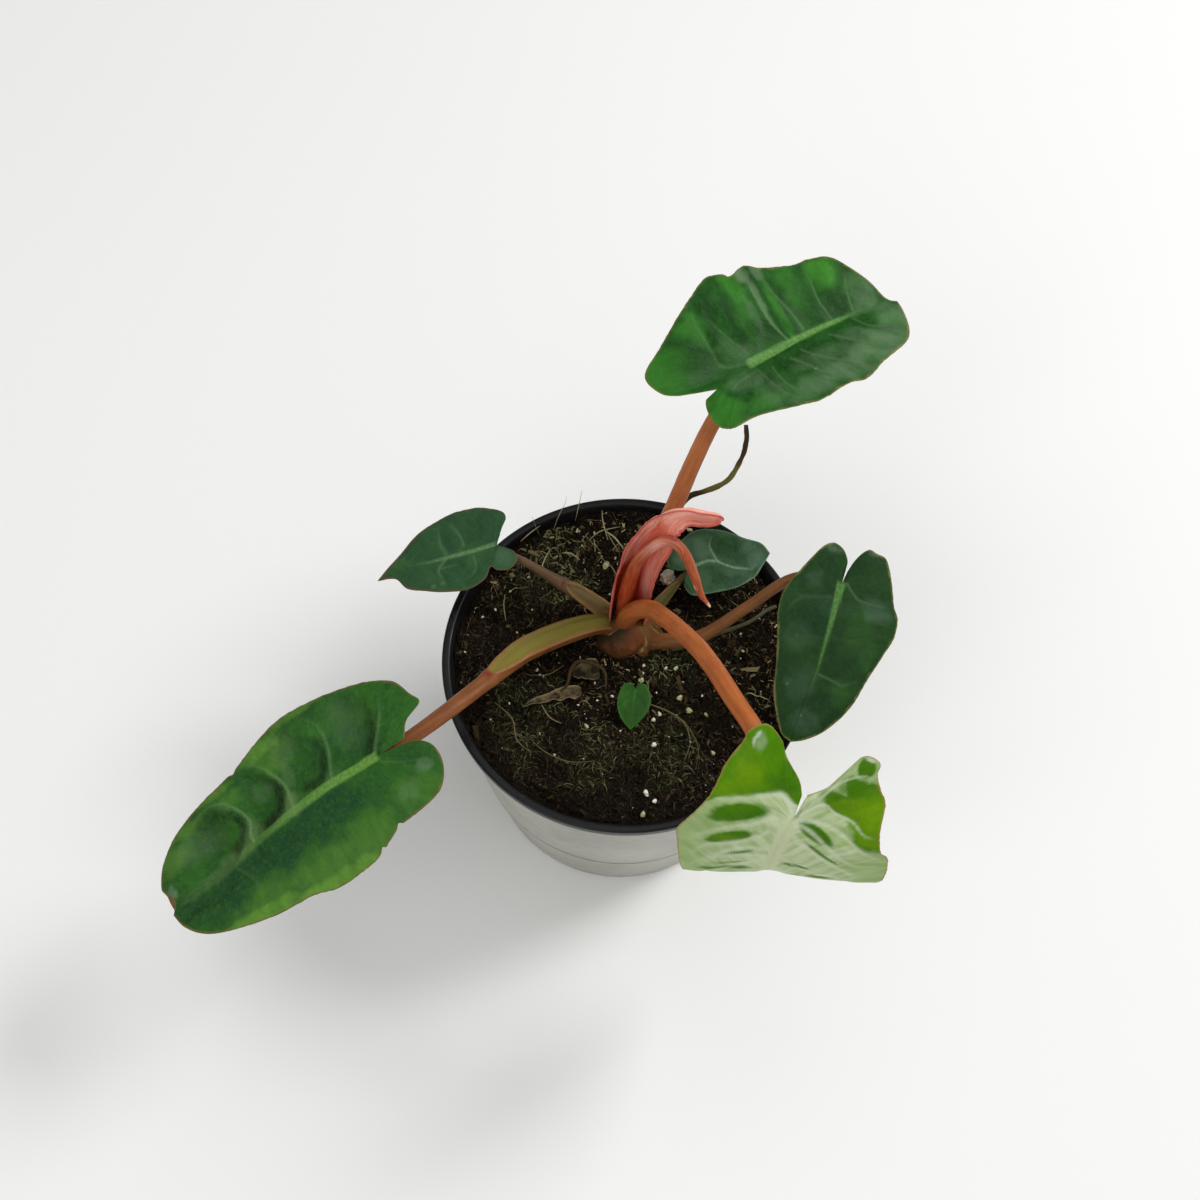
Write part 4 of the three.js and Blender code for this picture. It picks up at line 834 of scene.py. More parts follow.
def rib_path(slope, u):
    """How far forward and up the rib has got at u, summing cosine and sine of its slope in 1 mm steps."""
    zero, longest = 40, 90
    marks = np.arange(-zero, longest + 1)
    angle = np.radians(np.interp(marks[:-1] + 0.5, *zip(*slope)))
    forward = np.concatenate([[0], np.cumsum(np.cos(angle))])
    rise = np.concatenate([[0], np.cumsum(np.sin(angle))])
    return np.interp(u, marks, forward - forward[zero]), np.interp(u, marks, rise - rise[zero])


def place_on_leaf(blade, u, v, h):
    """Takes points of the flat blade, at height h over it, to their place on the bent leaf."""
    heading, roll = math.radians(blade["heading"]), math.radians(blade.get("roll", 0))
    slope = np.radians(np.interp(u, *zip(*blade["slope"])))
    forward, rise = rib_path(blade["slope"], u)
    across = v * math.cos(roll) - h * math.sin(roll)
    over = v * math.sin(roll) + h * math.cos(roll)
    ahead = forward - over * np.sin(slope)
    x = blade["seat"][0] + ahead * math.cos(heading) - across * math.sin(heading)
    y = blade["seat"][1] + ahead * math.sin(heading) + across * math.cos(heading)
    z = blade["seat"][2] + rise + over * np.cos(slope)
    return np.stack([x, y, z], axis=-1)


def leaf_grid(blade):
    """The flat blade on a grid: rays fan out from the stalk into the lobes, then leave the rib one by one.
    Returns u along the leaf, v across it, and what the relief and the masks are worked out from."""
    rays, steps = blade["rays"], blade["steps"]
    t = np.linspace(0, 1, rays + 1)[:, None]
    j = np.arange(-steps, steps + 1)[None, :]
    side = np.where(j >= 0, 1.0, -1.0)
    r = np.abs(j) / steps
    g = np.maximum(0, (t - blade["fan"]) / (1 - blade["fan"])) ** 0.9
    base_u = g * blade["length"]
    base_v = side * np.interp(base_u, *zip(*blade["rib"])) * ease(0, 4, base_u)
    edge = np.where((side > 0)[..., None], outline_curve(blade["left"], t), outline_curve(blade["right"], t))
    reach = np.hypot(edge[..., 0] - base_u, edge[..., 1] - base_v)
    lag = VEIN_SLANT * np.minimum(1, 3 * g) * 4 * r * (1 - r) * reach
    u = base_u * (1 - r) + edge[..., 0] * r - lag
    v = side * (base_v * (1 - r) + edge[..., 1] * r)
    whole = np.zeros_like(u)
    half_rib = blade["rib_width"][0] * (1 - g) ** blade.get("taper", 0.9) + blade["rib_width"][1] * g + whole
    return dict(t=t + whole, r=r + whole, g=g + whole, side=side + whole, u=u, v=v, reach=reach,
                half_rib=half_rib, off_rib=v - np.interp(u, *zip(*blade["rib"])))


def beside_curve(points, u, v):
    """How far each place lies from the curve through the points, and the share of the curve passed there.
    Each place is dropped square onto every short straight piece of the curve, and the nearest one counts."""
    curve = outline_curve(points, np.linspace(0, 1, 8 * len(points)))
    start, step = curve[:-1], np.diff(curve, axis=0)
    du, dv = u[..., None] - start[:, 0], v[..., None] - start[:, 1]
    passed = np.clip((du * step[:, 0] + dv * step[:, 1]) / np.sum(step ** 2, axis=1), 0, 1)
    gap = np.hypot(du - passed * step[:, 0], dv - passed * step[:, 1])
    return gap.min(axis=-1), (gap.argmin(axis=-1) + 0.5) / len(step)


def stroke_mask(strokes, u, v, seed):
    """Strength on each stroke, falling off softly past its half width, thinner and fainter at its far end."""
    mask = np.zeros_like(u)
    for number, (points, half, strength) in enumerate(strokes):
        away, passed = beside_curve(points, u, v)
        here = half * (1 - 0.4 * passed) * (1 + 0.3 * uneven(u, v, 2.5, seed + number))
        line = ease(1.3 * here + 0.25, 0.2 * here, away) * (1 - 0.7 * ease(0.5, 1.0, passed))
        mask = np.maximum(mask, strength * line)
    return mask


def patch_mask(patches, u, v, seed, rag=0.25):
    """Strength in the middle of each patch, falling to 0 a little past its two radii, with a ragged edge.
    With a slant the patch leans along the leaf as it goes out."""
    mask = np.zeros_like(u)
    for number, (middle_u, middle_v, along, across, strength, *slant) in enumerate(patches):
        out = v - middle_v
        lean = slant[0] * out if slant else 0
        ragged = rag * uneven(u, v, 0.8 + 0.4 * min(along, across), seed + number)
        away = np.hypot((u - middle_u - lean) / along, out / across) + ragged
        mask = np.maximum(mask, strength * ease(1.3, 0.45, away))
    return mask


def side_veins(blade):
    """Veins that leave the rib at each place in side_veins and slant to both margins, for hidden parts."""
    made = []
    for start in blade.get("side_veins", []):
        out = 0.32 * (blade["length"] - start) + 2
        for side in (1, -1):
            points = [(start, side), (start + 0.35 * out, side * 0.6 * out), (start + out, side * 1.1 * out)]
            made.append((points, 0.4, 0.7))
    return made


def leaf_relief(blade, f, seed):
    """Height of the blade over its flat form: fold and droop from the rib, swellings between the veins,
    round dishes, a waved margin, veins that stand out or lie sunk, and a little unevenness."""
    left = f["side"] > 0
    u, v, r, t = f["u"], f["v"], f["r"], f["t"]
    fold = np.where(left, blade["fold"][0], blade["fold"][1])
    droop = np.where(left, blade["droop"][0], blade["droop"][1])
    wave = np.where(left, blade["wave"][0], blade["wave"][1])
    out = np.abs(f["off_rib"])
    turn = blade["waves"] * t + 0.3 * (1 - left)
    sway = wave * np.sin(2 * np.pi * turn) * r ** 3 * np.sin(np.pi * t)
    height = fold * out - droop * out ** 2 / DROOP_SPAN + sway
    nearest = out
    for points, _, _ in blade["strokes"]["vein"] + side_veins(blade):
        nearest = np.minimum(nearest, beside_curve(points, u, v)[0])
    puff, span = blade["puff"]
    fade = ease(0, 0.1, r) * (1 - 0.7 * ease(0.7, 1.0, r))
    height = height + puff * (1 - bell(nearest, span)) * fade + blade["vein_rise"] * bell(nearest, 0.7) * fade
    for middle_u, middle_v, along, across, deep in blade.get("dishes", []):
        x, y = (u - middle_u) / along, (v - middle_v) / across
        height = height - deep * np.maximum(0, 1 - x * x - y * y) * (1 - 0.5 * x)
    ripples = 0.1 * uneven(u, v, 5.0, seed) + 0.04 * uneven(u, v, 2.2, seed + 1)
    return height + ripples * ease(0, 0.2, r) * (1 - 0.5 * r)


def leaf_masks(blade, f, seed):
    """Masks of the blade's colours from 0 to 1: strokes and patches as drawn, the rib, and the thin rim.
    ray and out say where a point lies: across the rays in millimetres, and along them as a share."""
    u, v, r = f["u"], f["v"], f["r"]
    strokes, patches = blade["strokes"], blade["patches"]
    masks = {}
    for number, key in enumerate(TONES):
        if key == "green" and key not in patches:
            continue
        rag = 0.08 if key == "green" else 0.25
        masks[key] = np.maximum(patch_mask(patches.get(key, []), u, v, seed + 20 * number, rag),
                                stroke_mask(strokes.get(key, []), u, v, seed + 20 * number + 7))
    veins = stroke_mask(strokes["vein"] + side_veins(blade), u, v, seed + 5)
    masks["vein"] = veins * ease(1.0, 0.85, r)
    start, end = blade["rib_fade"]
    half = f["half_rib"]
    ribbon = ease(half + 0.3, half - 0.35, np.abs(f["off_rib"])) * ease(-0.8, 0.8, u)
    masks["rib"] = ribbon * ease(end, start, f["g"]) * ease(1.0, 0.97, f["g"])
    masks["ray"] = f["side"] * (10 + 1.25 * blade["length"] * f["t"])
    masks["out"] = r
    to_margin = (1 - r) * np.maximum(f["reach"], 0.5) + 0.2 * uneven(u, v, 2.0, seed + 2)
    masks["rim"] = ease(0.6, 0.2, to_margin)
    return masks


def make_leaf(name, material, seed, adjust=None):
    """A thin closed blade: its upper face carries the relief, its lower one the rib and veins in reverse."""
    blade = BLADES[name]
    f = leaf_grid(blade)
    height = leaf_relief(blade, f, seed)
    masks = leaf_masks(blade, f, seed)
    if adjust:
        height, masks = adjust(f, height, masks)
    bites = uneven(f["t"] * 140, f["side"] * 9, 1.0, seed + 4)
    nibble = 1 + 0.006 * bites * ease(0.8, 1, f["r"])
    for nick_u, nick_v in blade.get("nicks", []):
        nibble = nibble - 0.05 * bell(np.hypot(f["u"] - nick_u, f["v"] - nick_v), 0.9)
    v = f["v"] + f["off_rib"] * (nibble - 1)
    size = min(1.0, blade["length"] / 50)
    hump = np.sqrt(np.clip(1 - (f["off_rib"] / (f["half_rib"] + 0.3)) ** 2, 0, 1))
    raised = hump * ease(-2, 2, f["u"]) * ease(1.0, 0.9, f["g"])
    thin = 1 - 0.55 * ease(0.85, 1.0, f["r"])
    upper_h = height + LAMINA / 2 * thin + 0.3 * size * raised
    lower_h = height - LAMINA / 2 * thin - RIB_UNDER * size * raised - 0.3 * size * masks["vein"] * thin
    upper = place_on_leaf(blade, f["u"], v, upper_h)
    lower = place_on_leaf(blade, f["u"], v, lower_h)
    points, faces = sheet_shell(upper, lower)
    both = {key: np.concatenate([value.ravel(), value.ravel()]) for key, value in masks.items()}
    both["under"] = np.concatenate([np.zeros(f["r"].size), np.ones(f["r"].size)])
    flat = np.stack([f["u"].ravel(), f["v"].ravel()], axis=1) / BLADE_UNIT
    piece = make_piece(f"{name}_blade", points, faces, both, material, [name], uv=np.tile(flat, (2, 1)))
    welded(piece)


# Paints of the mature leaves: name, then mid, bright, deep, dark, web, vein, rib, rim, painted_sheen, and
# gloss

LEAF_PAINTS = {
    "leaf_left": ("leaf_left_green", "#316522", "#689a36", "#1b4527", "#142c10", "#5c7a4a", "#6a8c56",
                  "#6f9c46", "#7d6238", "#86a07c", 0.42),
    "leaf_back": ("leaf_back_green", "#235a1d", "#46942c", "#133610", "#0f2b0e", "#4c7342", "#577c4c",
                  "#6c9b50", "#8a7a44", "#74906c", 0.46),
    "leaf_right": ("leaf_right_green", "#27481f", "#335f25", "#1d3a22", "#0d1a0c", "#3f6038", "#58795a",
                   "#5d8c48", "#7d7a48", "#5e7861", 0.4),
    "leaf_upper_left": ("leaf_upper_left_green", "#325634", "#3f6834", "#284c30", "#16281a", "#52724c",
                        "#64865f", "#64885a", "#6b4a34", "#6d8670", 0.42),
    "leaf_rear_low": ("leaf_rear_green", "#38563a", "#43663c", "#1f3f20", "#16281a", "#56765a", "#7c997e",
                      "#7a987a", "#5f7a5c", "#647e6c", 0.5),
    "seedling_leaf": ("leaf_seedling_green", "#2f5a20", "#3f7029", "#27501c", "#1c3a16", "#3f6a30",
                      "#4a7a3a", "#3f6f2c", "#3a6a26", "#9ab08a", 0.4),
}


# Finishing touches of single leaves

def finish_left(f, height, masks):
    """The brown tip, folded down."""
    tip = ease(5.0, 2.6, np.hypot(f["u"] - 84.5, f["v"] - 1.8))
    masks["rim"] = np.maximum(masks["rim"], tip)
    return height - 2.0 * tip, masks


def finish_front(f, height, masks):
    """The hind lobe on the right half is clear green up to the first whitish vein, and the whitish streaks,
    partly painted reflection, are whitest by the rib."""
    border = np.interp(-f["v"], [0, 2, 6.4, 14, 24.7, 30], [-4.6, -4.8, -6.8, -3.8, 0, 2.5])
    ragged = 0.5 * uneven(f["u"], f["v"], 2.0, 13)
    lobe = ease(0.9, -0.9, f["u"] - border + ragged) * ease(0.5, -0.5, f["v"])
    masks["green"] = np.maximum(masks["green"], lobe)
    masks["lobe"] = lobe
    masks["web"] = np.maximum(masks["web"], 0.9 * ease(13, 2, np.abs(f["off_rib"])))
    return height, masks


def finish_upper_left(f, height, masks):
    """Reddish brown pointed tip."""
    masks["rim"] = np.maximum(masks["rim"], ease(0.93, 0.99, f["t"]))
    return height, masks


def make_leaves():
    """All blades, each with its own paint. Only the newest one is whitish, partly with painted reflection."""
    finish = {"leaf_left": finish_left, "leaf_upper_left": finish_upper_left}
    for seed, (name, (paint, *tones, gloss)) in enumerate(LEAF_PAINTS.items()):
        material = leaf_paint(paint, *tones, gloss=gloss)
        make_leaf(name, material, 20 + 10 * seed, finish.get(name))
    make_leaf("leaf_front", new_leaf_paint(), 90, finish_front)


# Stalks. A route and radii run from the crown outwards, and top is the side that an open sheath faces.
# channel and collar are shares of the length. paint is skin, shadow, channel and collar.

STREAK_UNIT = 300.0             # millimetres along a stalk to one unit of its paint coordinates
STREAK_TURN = 0.06              # units of paint coordinates to one radian round a stalk
THIN_STALK = 1.2                # stalks no thicker than this radius have fewer sides

STALKS = {
    "petiole_front": dict(
        route=[(-1.5, 11, 86), (0.5, 11, 99), (4.5, 8.5, 109), (10.1, 3.5, 115.5), (21.5, -16.4, 133),
               (31.1, -37.1, 143.5), (38, -50, 145)],
        under="leaf_front", radii=[3.4, 3.2, 2.9, 2.9, 2.9, 2.9, 2.8, 2.4, 1.2], top=(-0.35, 0.9, 1),
        paint=("#b86835", "#9c562b", "#7d6a30", "#8a3a22")),
    "petiole_left": dict(
        route=[(-1, 12, 87), (-7.5, 11.5, 91), (-14.6, 8.6, 93.7), (-23.5, 3.2, 97), (-32.2, -3.5, 100.5),
               (-39, -11, 103.3), (-45.5, -18.8, 105.8), (-60.5, -34.7, 110)],
        under="leaf_left", radii=[3.6, 4.0, 4.3, 4.3, 3.7, 2.9, 2.8, 2.7, 2.5, 1.3], top=(0.1, 0.5, 1),
        flatten=0.78, channel=(0.0, 0.52), collar=0.525, paint=("#8b5530", "#704225", "#7d7832", "#7d2a1c")),
    "petiole_back": dict(
        route=[(1, 15, 84), (3.2, 25, 92), (8.8, 34, 107), (13.9, 41.9, 118), (19.1, 50.8, 131),
               (25.5, 60.5, 143)],
        under="leaf_back", radii=[3.3, 3.1, 2.9, 2.8, 2.5, 1.2], top=(0, -0.2, 1),
        paint=("#c27646", "#a76338", "#7d6a30", "#8a3a22")),
    "petiole_right": dict(
        route=[(4, 9, 85), (12, 6, 91), (23.8, 5.3, 97), (37.5, 11.5, 106), (53, 19.5, 113.5)],
        under="leaf_right", radii=[3.0, 2.5, 2, 1.8, 1.7, 1.2], top=(0, -0.2, 1),
        paint=("#865833", "#684327", "#77652f", "#74341f")),
    "petiole_upper_left": dict(
        route=[(-1, 14, 85), (-8, 17, 90), (-15, 19.5, 95), (-22.4, 21.8, 99.5), (-34, 26, 105)],
        under="leaf_upper_left", radii=[2.8, 2.8, 2.5, 1.6, 1.2, 0.85], top=(0.2, -0.3, 1),
        channel=(0.0, 0.46), collar=0.49, paint=("#6a5139", "#4e3d2b", "#5f5230", "#5a1f22")),
    "petiole_rear_low": dict(
        route=[(4, 14, 84), (9.8, 20, 88.5), (15, 25.5, 92)],
        under="leaf_rear_low", radii=[2.5, 2.2, 1.5, 1.0], top=(0.3, -0.6, 1),
        channel=(0.0, 0.75), paint=("#63523a", "#43352a", "#5c5c30", "#7d7860")),
    "seedling_stalk": dict(
        route=[(3.6, -7, 70), (3.7, -8, 78), (3.6, -9.5, 85)],
        under="seedling_leaf", radii=[0.8, 0.8, 0.7, 0.4], top=(0, 1, 0),
        paint=("#4c7030", "#3c5a26", "#4c7030", "#4c7030")),
    "petiole_dried": dict(
        route=[(5, 16, 82), (7.5, 28, 87), (11, 41, 95), (15, 48.5, 101.5), (19.1, 52, 106),
               (24.4, 52.2, 110), (30, 53.1, 114), (32.7, 54.9, 117), (35.6, 59.8, 121), (36.5, 64, 124),
               (36.1, 67.5, 127)],
        radii=[1.6, 1.2, 1, 0.95, 0.85, 0.8], top=(0, 0, 1), knots=0.16, green_band=(0.62, 0.86),
        paint=("#5a4730", "#33281c", "#74743a", "#74743a")),
    "aerial_root": dict(
        route=[(8.5, 6.5, 82), (17, 5.5, 87), (29, 9.5, 90), (39.5, 13.5, 91.5), (46, 18, 92.5),
               (49, 19.5, 92.5)],
        radii=[0.9, 0.75, 0.65, 0.6], top=(0, 0, 1), knots=0.1,
        paint=("#575740", "#3c3c2a", "#575740", "#575740")),
}


def tube(route, radii, top, steps, sides, flatten=1.0, profile=None):
    """A round stalk along a route: rings of points round each place, flattened up and down, with closed ends.
    profile(along, around) scales the radius, where around is 0 on the side that top points to."""
    places, directions = even_curve(route, steps)
    top = np.asarray(top, float)
    level = normalised(top - directions * (directions @ top)[:, None])
    across = np.cross(directions, level)
    along = np.linspace(0, 1, steps + 1)[:, None]
    around = np.linspace(-np.pi, np.pi, sides, endpoint=False)[None, :]
    radius = spaced(radii, steps)[:, None] * (profile(along, around) if profile else 1.0)
    radius = radius * np.ones_like(around)
    lift = (radius * np.cos(around))[..., None] * level[:, None, :] * flatten
    spread = (radius * np.sin(around))[..., None] * across[:, None, :]
    rings = places[:, None, :] + lift + spread
    points = np.concatenate([rings.reshape(-1, 3), places[:1], places[-1:]])
    faces = closed_rings(steps + 1, sides)
    along_all = np.concatenate([(along + 0 * around).ravel(), [0, 1]])
    around_all = np.concatenate([(around + 0 * along).ravel(), [0, 0]])
    length = np.linalg.norm(np.diff(places, axis=0), axis=1).sum()
    uv = np.stack([along_all * length / STREAK_UNIT, np.abs(around_all) * STREAK_TURN], axis=1)
    return points, faces, along_all, around_all, uv


def make_stalk(name, stalk, seed):
    """A stalk from crown to blade, with a channel and raised wings where its sheath opens, and a collar."""
    route = list(stalk["route"])
    if "under" in stalk:
        blade = BLADES[stalk["under"]]
        for u, share in ((blade["length"] / 40, 1.35), (blade["length"] / 12, 1.0)):
            below = share * stalk["radii"][-1] + 0.45
            route.append(tuple(place_on_leaf(blade, np.array(u), np.array(0.0), np.array(-below))))
    low, high = stalk.get("channel", (0, -1))
    knots = stalk.get("knots", 0.02)

    def channel_half(along):
        """Half angle of the open channel: wide, then narrowing to a point at its end."""
        passed = np.clip((along - low) / (high - low), 0, 1)
        return 1.15 * np.sqrt(1 - passed ** 5) * (high > low) * (along < high)

    def profile(along, around):
        half = channel_half(along)
        opening = ease(0.0, 0.5, half)
        groove = 0.34 * ease(half + 0.05, half - 0.3, np.abs(around)) * opening
        wings = 0.16 * bell(np.abs(around) - half - 0.08, 0.2) * opening
        rough = knots * uneven(along * 60, np.cos(around) * 2 + 0.5 * np.sin(around), 1.6, seed)
        ring = 0.07 * bell(along - stalk.get("collar", -1), 0.012)
        return 1 + wings - groove + rough + ring

    steps, sides = (150, 36) if max(stalk["radii"]) > THIN_STALK else (110, 14)
    points, faces, along, around, uv = tube(
        route, stalk["radii"], stalk["top"], steps, sides, stalk.get("flatten", 1.0), profile)
    half = channel_half(along)
    opening = ease(0.0, 0.4, half)
    masks = dict(
        channel=opening * ease(half + 0.02, half - 0.12, np.abs(around)),
        edge=opening * bell(np.abs(around) - half - 0.06, 0.1) * 0.8,
        collar=0.85 * bell(along - stalk.get("collar", -1), 0.012) * bell(around, 0.55),
        foot=ease(0.14, 0.0, along))
    if "green_band" in stalk:
        start, end = stalk["green_band"]
        masks["channel"] = ease(start, start + 0.06, along) * ease(end, end - 0.06, along)
    material = stalk_paint(f"{name}_skin", *stalk["paint"], gloss=0.62 if knots > 0.05 else 0.4)
    piece = make_piece(f"{name}_stalk", points, faces, masks, material, [name], uv=uv)
    welded(piece, FOOT_WELD)


def make_stalks():
    """All stalks, the dried one and the root among them."""
    for seed, (name, stalk) in enumerate(STALKS.items()):
        make_stalk(name, stalk, 200 + seed)


# New leaf: the pink sheath and the coral spike inside it

PINK_SHEATH = dict(
    route=[(0, 14.5, 86), (0.6, 14.3, 96), (1.2, 15.6, 108), (3.2, 16.1, 124), (6.6, 16.4, 138),
           (10.4, 17, 148.5), (15.4, 18, 152), (21.3, 19, 150), (27, 20.6, 146)],
    half=[5.8, 6.2, 6, 5.7, 5.5, 5.2, 4.0, 2.4, 2.7], wrap=[125, 120, 112, 106, 100, 95, 95, 100, 100],
    facing=(-0.15, -1, 0.35), rows=200, columns=84, thickness=0.6)

CORAL_SPIKE = dict(
    route=[(-1.8, 15.8, 90), (-1.2, 16.3, 94), (-0.4, 16.6, 106), (1, 16.8, 118.5), (3.1, 17, 128.5),
           (6.3, 17, 135), (9.8, 16.8, 139.5), (13.1, 15.5, 141), (16.7, 13.6, 136.5), (20, 10.6, 128.5),
           (22.3, 8, 122), (25.5, 6.2, 117)],
    radii=[2.4, 2.5, 2.5, 2.3, 2.1, 1.9, 1.75, 1.7, 1.6, 1.5, 1.2, 0.35], top=(-0.6, 0.3, 1))


def make_sheath(material):
    """A trough along a route: each row is an arc that is open towards facing and wraps round by its angle."""
    s = PINK_SHEATH
    places, directions = even_curve(s["route"], s["rows"])
    facing = np.asarray(s["facing"], float)
    front = normalised(facing - directions * (directions @ facing)[:, None])
    across = np.cross(directions, front)
    wrap = np.radians(spaced(s["wrap"], s["rows"]))
    half = spaced(s["half"], s["rows"]) / np.minimum(1, np.sin(np.minimum(wrap, np.pi / 2)))
    f = np.linspace(0, 1, s["rows"] + 1)[:, None]
    c = np.linspace(-1, 1, s["columns"] + 1)[None, :]
    angle = c * wrap[:, None]
    spoke = -np.cos(angle)[..., None] * front[:, None, :] + np.sin(angle)[..., None] * across[:, None, :]
    crease = 0.22 * uneven(f * 26, angle * 3, 1.0, 31) + 0.14 * np.sin(5 * angle + 9 * f)
    crumple = 0.35 * np.sin(5 * angle + 30 * f) + 0.4 * uneven(f * 40, angle * 4, 1.0, 33)
    crease = crease + bell(f - 0.74, 0.1) * crumple
    turned = ease(-0.66, -1.0, c) * ease(0.42, 0.55, f) * ease(0.88, 0.76, f)
    lip = 0.4 * ease(0.88, 1.0, np.abs(c)) + 1.1 * turned
    closed = np.sqrt(np.clip(1 - (np.clip(f - 0.94, 0, 1) / 0.0605) ** 2, 0.003, 1))
    radius = (half[:, None] + crease * ease(0.05, 0.3, f) + lip) * closed
    outer = places[:, None, :] + spoke * (radius + s["thickness"] / 2 * closed)[..., None]
    inner = places[:, None, :] + spoke * (radius - s["thickness"] / 2 * closed)[..., None]
    points, faces = sheet_shell(outer, inner)
    nothing = np.zeros(f.size * c.size)
    rim = ease(0.9, 0.98, np.abs(c)) + ease(0.975, 1.0, f)
    inside = ease(0.99, 0.9, np.abs(c))
    band = ease(0.36, 0.46, f) * ease(-0.05, -0.45, c)
    # hollow: darker down in the trough, partly the sheath's own deeper colour and partly painted shade
    hollow = ease(0.72, 0.3, f) * inside * ease(0.25, -0.05, c) * (1 - band)
    # wall: the inner right wall painted pale, a painted glow where light comes through the thin sheath
    wall = ease(0.1, 0.35, c) * (0.3 + 0.4 * ease(0.5, 0.25, f))
    flap = ease(0.66, 0.78, f) * (0.75 + 0.25 * np.cos(3 * angle))
    masks = dict(
        inner=np.concatenate([nothing, hollow.ravel()]),
        edge=np.tile((np.clip(rim, 0, 1) * 0.7).ravel(), 2),
        foot=np.tile((ease(0.12, 0.0, f) + 0 * c).ravel(), 2),
        pale=np.concatenate([(np.maximum(flap, 0.6 * turned) * inside).ravel(),
                             (np.maximum(np.maximum(wall, 0.7 * band), flap) * inside).ravel()]),
        coral=np.zeros(2 * nothing.size), cream=np.zeros(2 * nothing.size))
    flat = np.stack([(f * 0.1 + 0 * c).ravel(), (angle * 0.12 + 0 * f).ravel()], axis=1)
    piece = make_piece("pink_sheath_trough", points, faces, masks, material, ["pink_sheath"],
                       uv=np.tile(flat, (2, 1)))
    welded(piece)


def make_spike(material):
    """A tube along the route, ridged where its rolled edge lies, dark in the trough and along its rolled
    edge, partly painted shade, and cream at its tip.
    """
    def profile(along, around):
        return 1 + 0.1 * bell(around - 0.6, 0.35) - 0.16 * bell(around + 0.4, 0.2) * ease(0, 0.2, along)

    s = CORAL_SPIKE
    points, faces, along, around, uv = tube(s["route"], s["radii"], s["top"], 190, 32, 1.0, profile)
    # darker low down in the trough and along the groove of the rolled edge: own deeper colour with painted
    # shade
    deep = ease(0.46, 0.3, along + 0.03 * np.sin(3 * around))
    masks = dict(
        inner=np.maximum(deep, 0.5 * bell(around + 0.4, 0.25)), edge=np.zeros(len(points)),
        foot=ease(0.12, 0.0, along), coral=np.ones(len(points)),
        pale=0.5 * bell(along - 0.58, 0.07) + 0.8 * bell(along - 0.885, 0.012) * bell(around, 0.8),
        cream=ease(0.97, 0.985, along))
    piece = make_piece("coral_spike_roll", points, faces, masks, material, ["coral_spike"], uv=uv)
    welded(piece, FOOT_WELD)


# Crown. A fold is its direction round the stem, its height up it as a share, half width, swelling, redness,
# ochre and slant.

CROWN = dict(
    x=1, y=10, top=95.5, radius=8.5, foot=70,
    folds=[(-2.05, 0.62, 0.95, 2.6, 0.8, 0.0, 3.2), (-0.75, 0.52, 0.8, 3.0, 0.3, 0.85, 0.5),
           (0.3, 0.45, 0.7, 3.0, 0.4, 0.7, 0.5), (1.6, 0.5, 0.8, 2.2, 0.5, 0.2, 0.5),
           (2.8, 0.5, 0.8, 2.0, 0.5, 0.3, 0.5)])


def make_crown():
    """A short stem wrapped in old sheath bases: a dome whose radius swells in folds. Each fold's free edge
    stands over the next one, with a cream line on it."""
    rows, sides = 84, 200
    f = np.linspace(0, 1, rows + 1)[:, None]
    angle = np.linspace(-np.pi, np.pi, sides, endpoint=False)[None, :]
    z = CROWN["foot"] + (CROWN["top"] - CROWN["foot"]) * f
    radius = CROWN["radius"] * np.sqrt(np.clip(1 - np.clip((f - 0.55) / 0.45, 0, 1) ** 2.4, 0, 1))
    radius = radius * (0.75 + 0.25 * ease(0, 0.5, f))
    folds, line, warm, ochre = 0, 0, 0, 0
    for centre, height, width, depth, tone, yellow, slant in CROWN["folds"]:
        gap = np.angle(np.exp(1j * (angle - centre - slant * (f - 0.75))))
        swell = depth * np.cos(np.clip(gap / width, -1, 1) * np.pi / 2) ** 0.55 * bell(f - height, 0.3)
        free = bell(gap - 0.95 * width, 0.028) * ease(0.5, 0.7, f) * ease(0.92, 0.84, f)
        line = np.where(swell > folds - 0.3, np.maximum(line, free), line)
        red = tone * ease(0.5, 0.82, f) * ease(-1.1, 0.5, gap / width)
        warm = np.where(swell > folds, red, warm)
        ochre = np.where(swell > folds, yellow * ease(0.35, 0.7, f), ochre)
        folds = np.maximum(folds, swell)
    crinkle = 0.05 * np.sin(34 * angle + 6 * f) + 0.5 * uneven(angle * 5, f * 12, 1.0, 41)
    crinkle = crinkle + 0.3 * uneven(angle * 9, f * 26, 1.0, 42)
    radius = radius + (folds + crinkle) * ease(1.0, 0.8, f) * ease(0.0, 0.2, f)
    x = CROWN["x"] + 1.05 * radius * np.cos(angle)
    y = CROWN["y"] + 0.85 * radius * np.sin(angle)
    points = np.stack([x, y, z + 0 * angle], axis=-1).reshape(-1, 3)
    ends = [[CROWN["x"], CROWN["y"], CROWN["foot"]], [CROWN["x"], CROWN["y"], CROWN["top"]]]
    points = np.concatenate([points, ends])
    faces = [q[::-1] for q in closed_rings(rows + 1, sides)]
    masks = dict(
        tone=np.concatenate([(warm + 0 * f).ravel(), [0.3, 0.5]]),
        ochre=np.concatenate([(ochre + 0 * f).ravel(), [0, 0]]),
        edge=np.concatenate([(0.85 * line + 0 * f).ravel(), [0, 0]]))
    flat = np.stack([(angle * 0.1 + 0 * f).ravel(), (f * 0.02 + 0 * angle).ravel()], axis=1)
    flat = np.concatenate([flat, [[0, 0], [0, 0.02]]])
    piece = make_piece("crown_sheath_bases", points, faces, masks, crown_paint(), ["crown"], uv=flat)
    welded(piece, FOOT_WELD)


# Pot

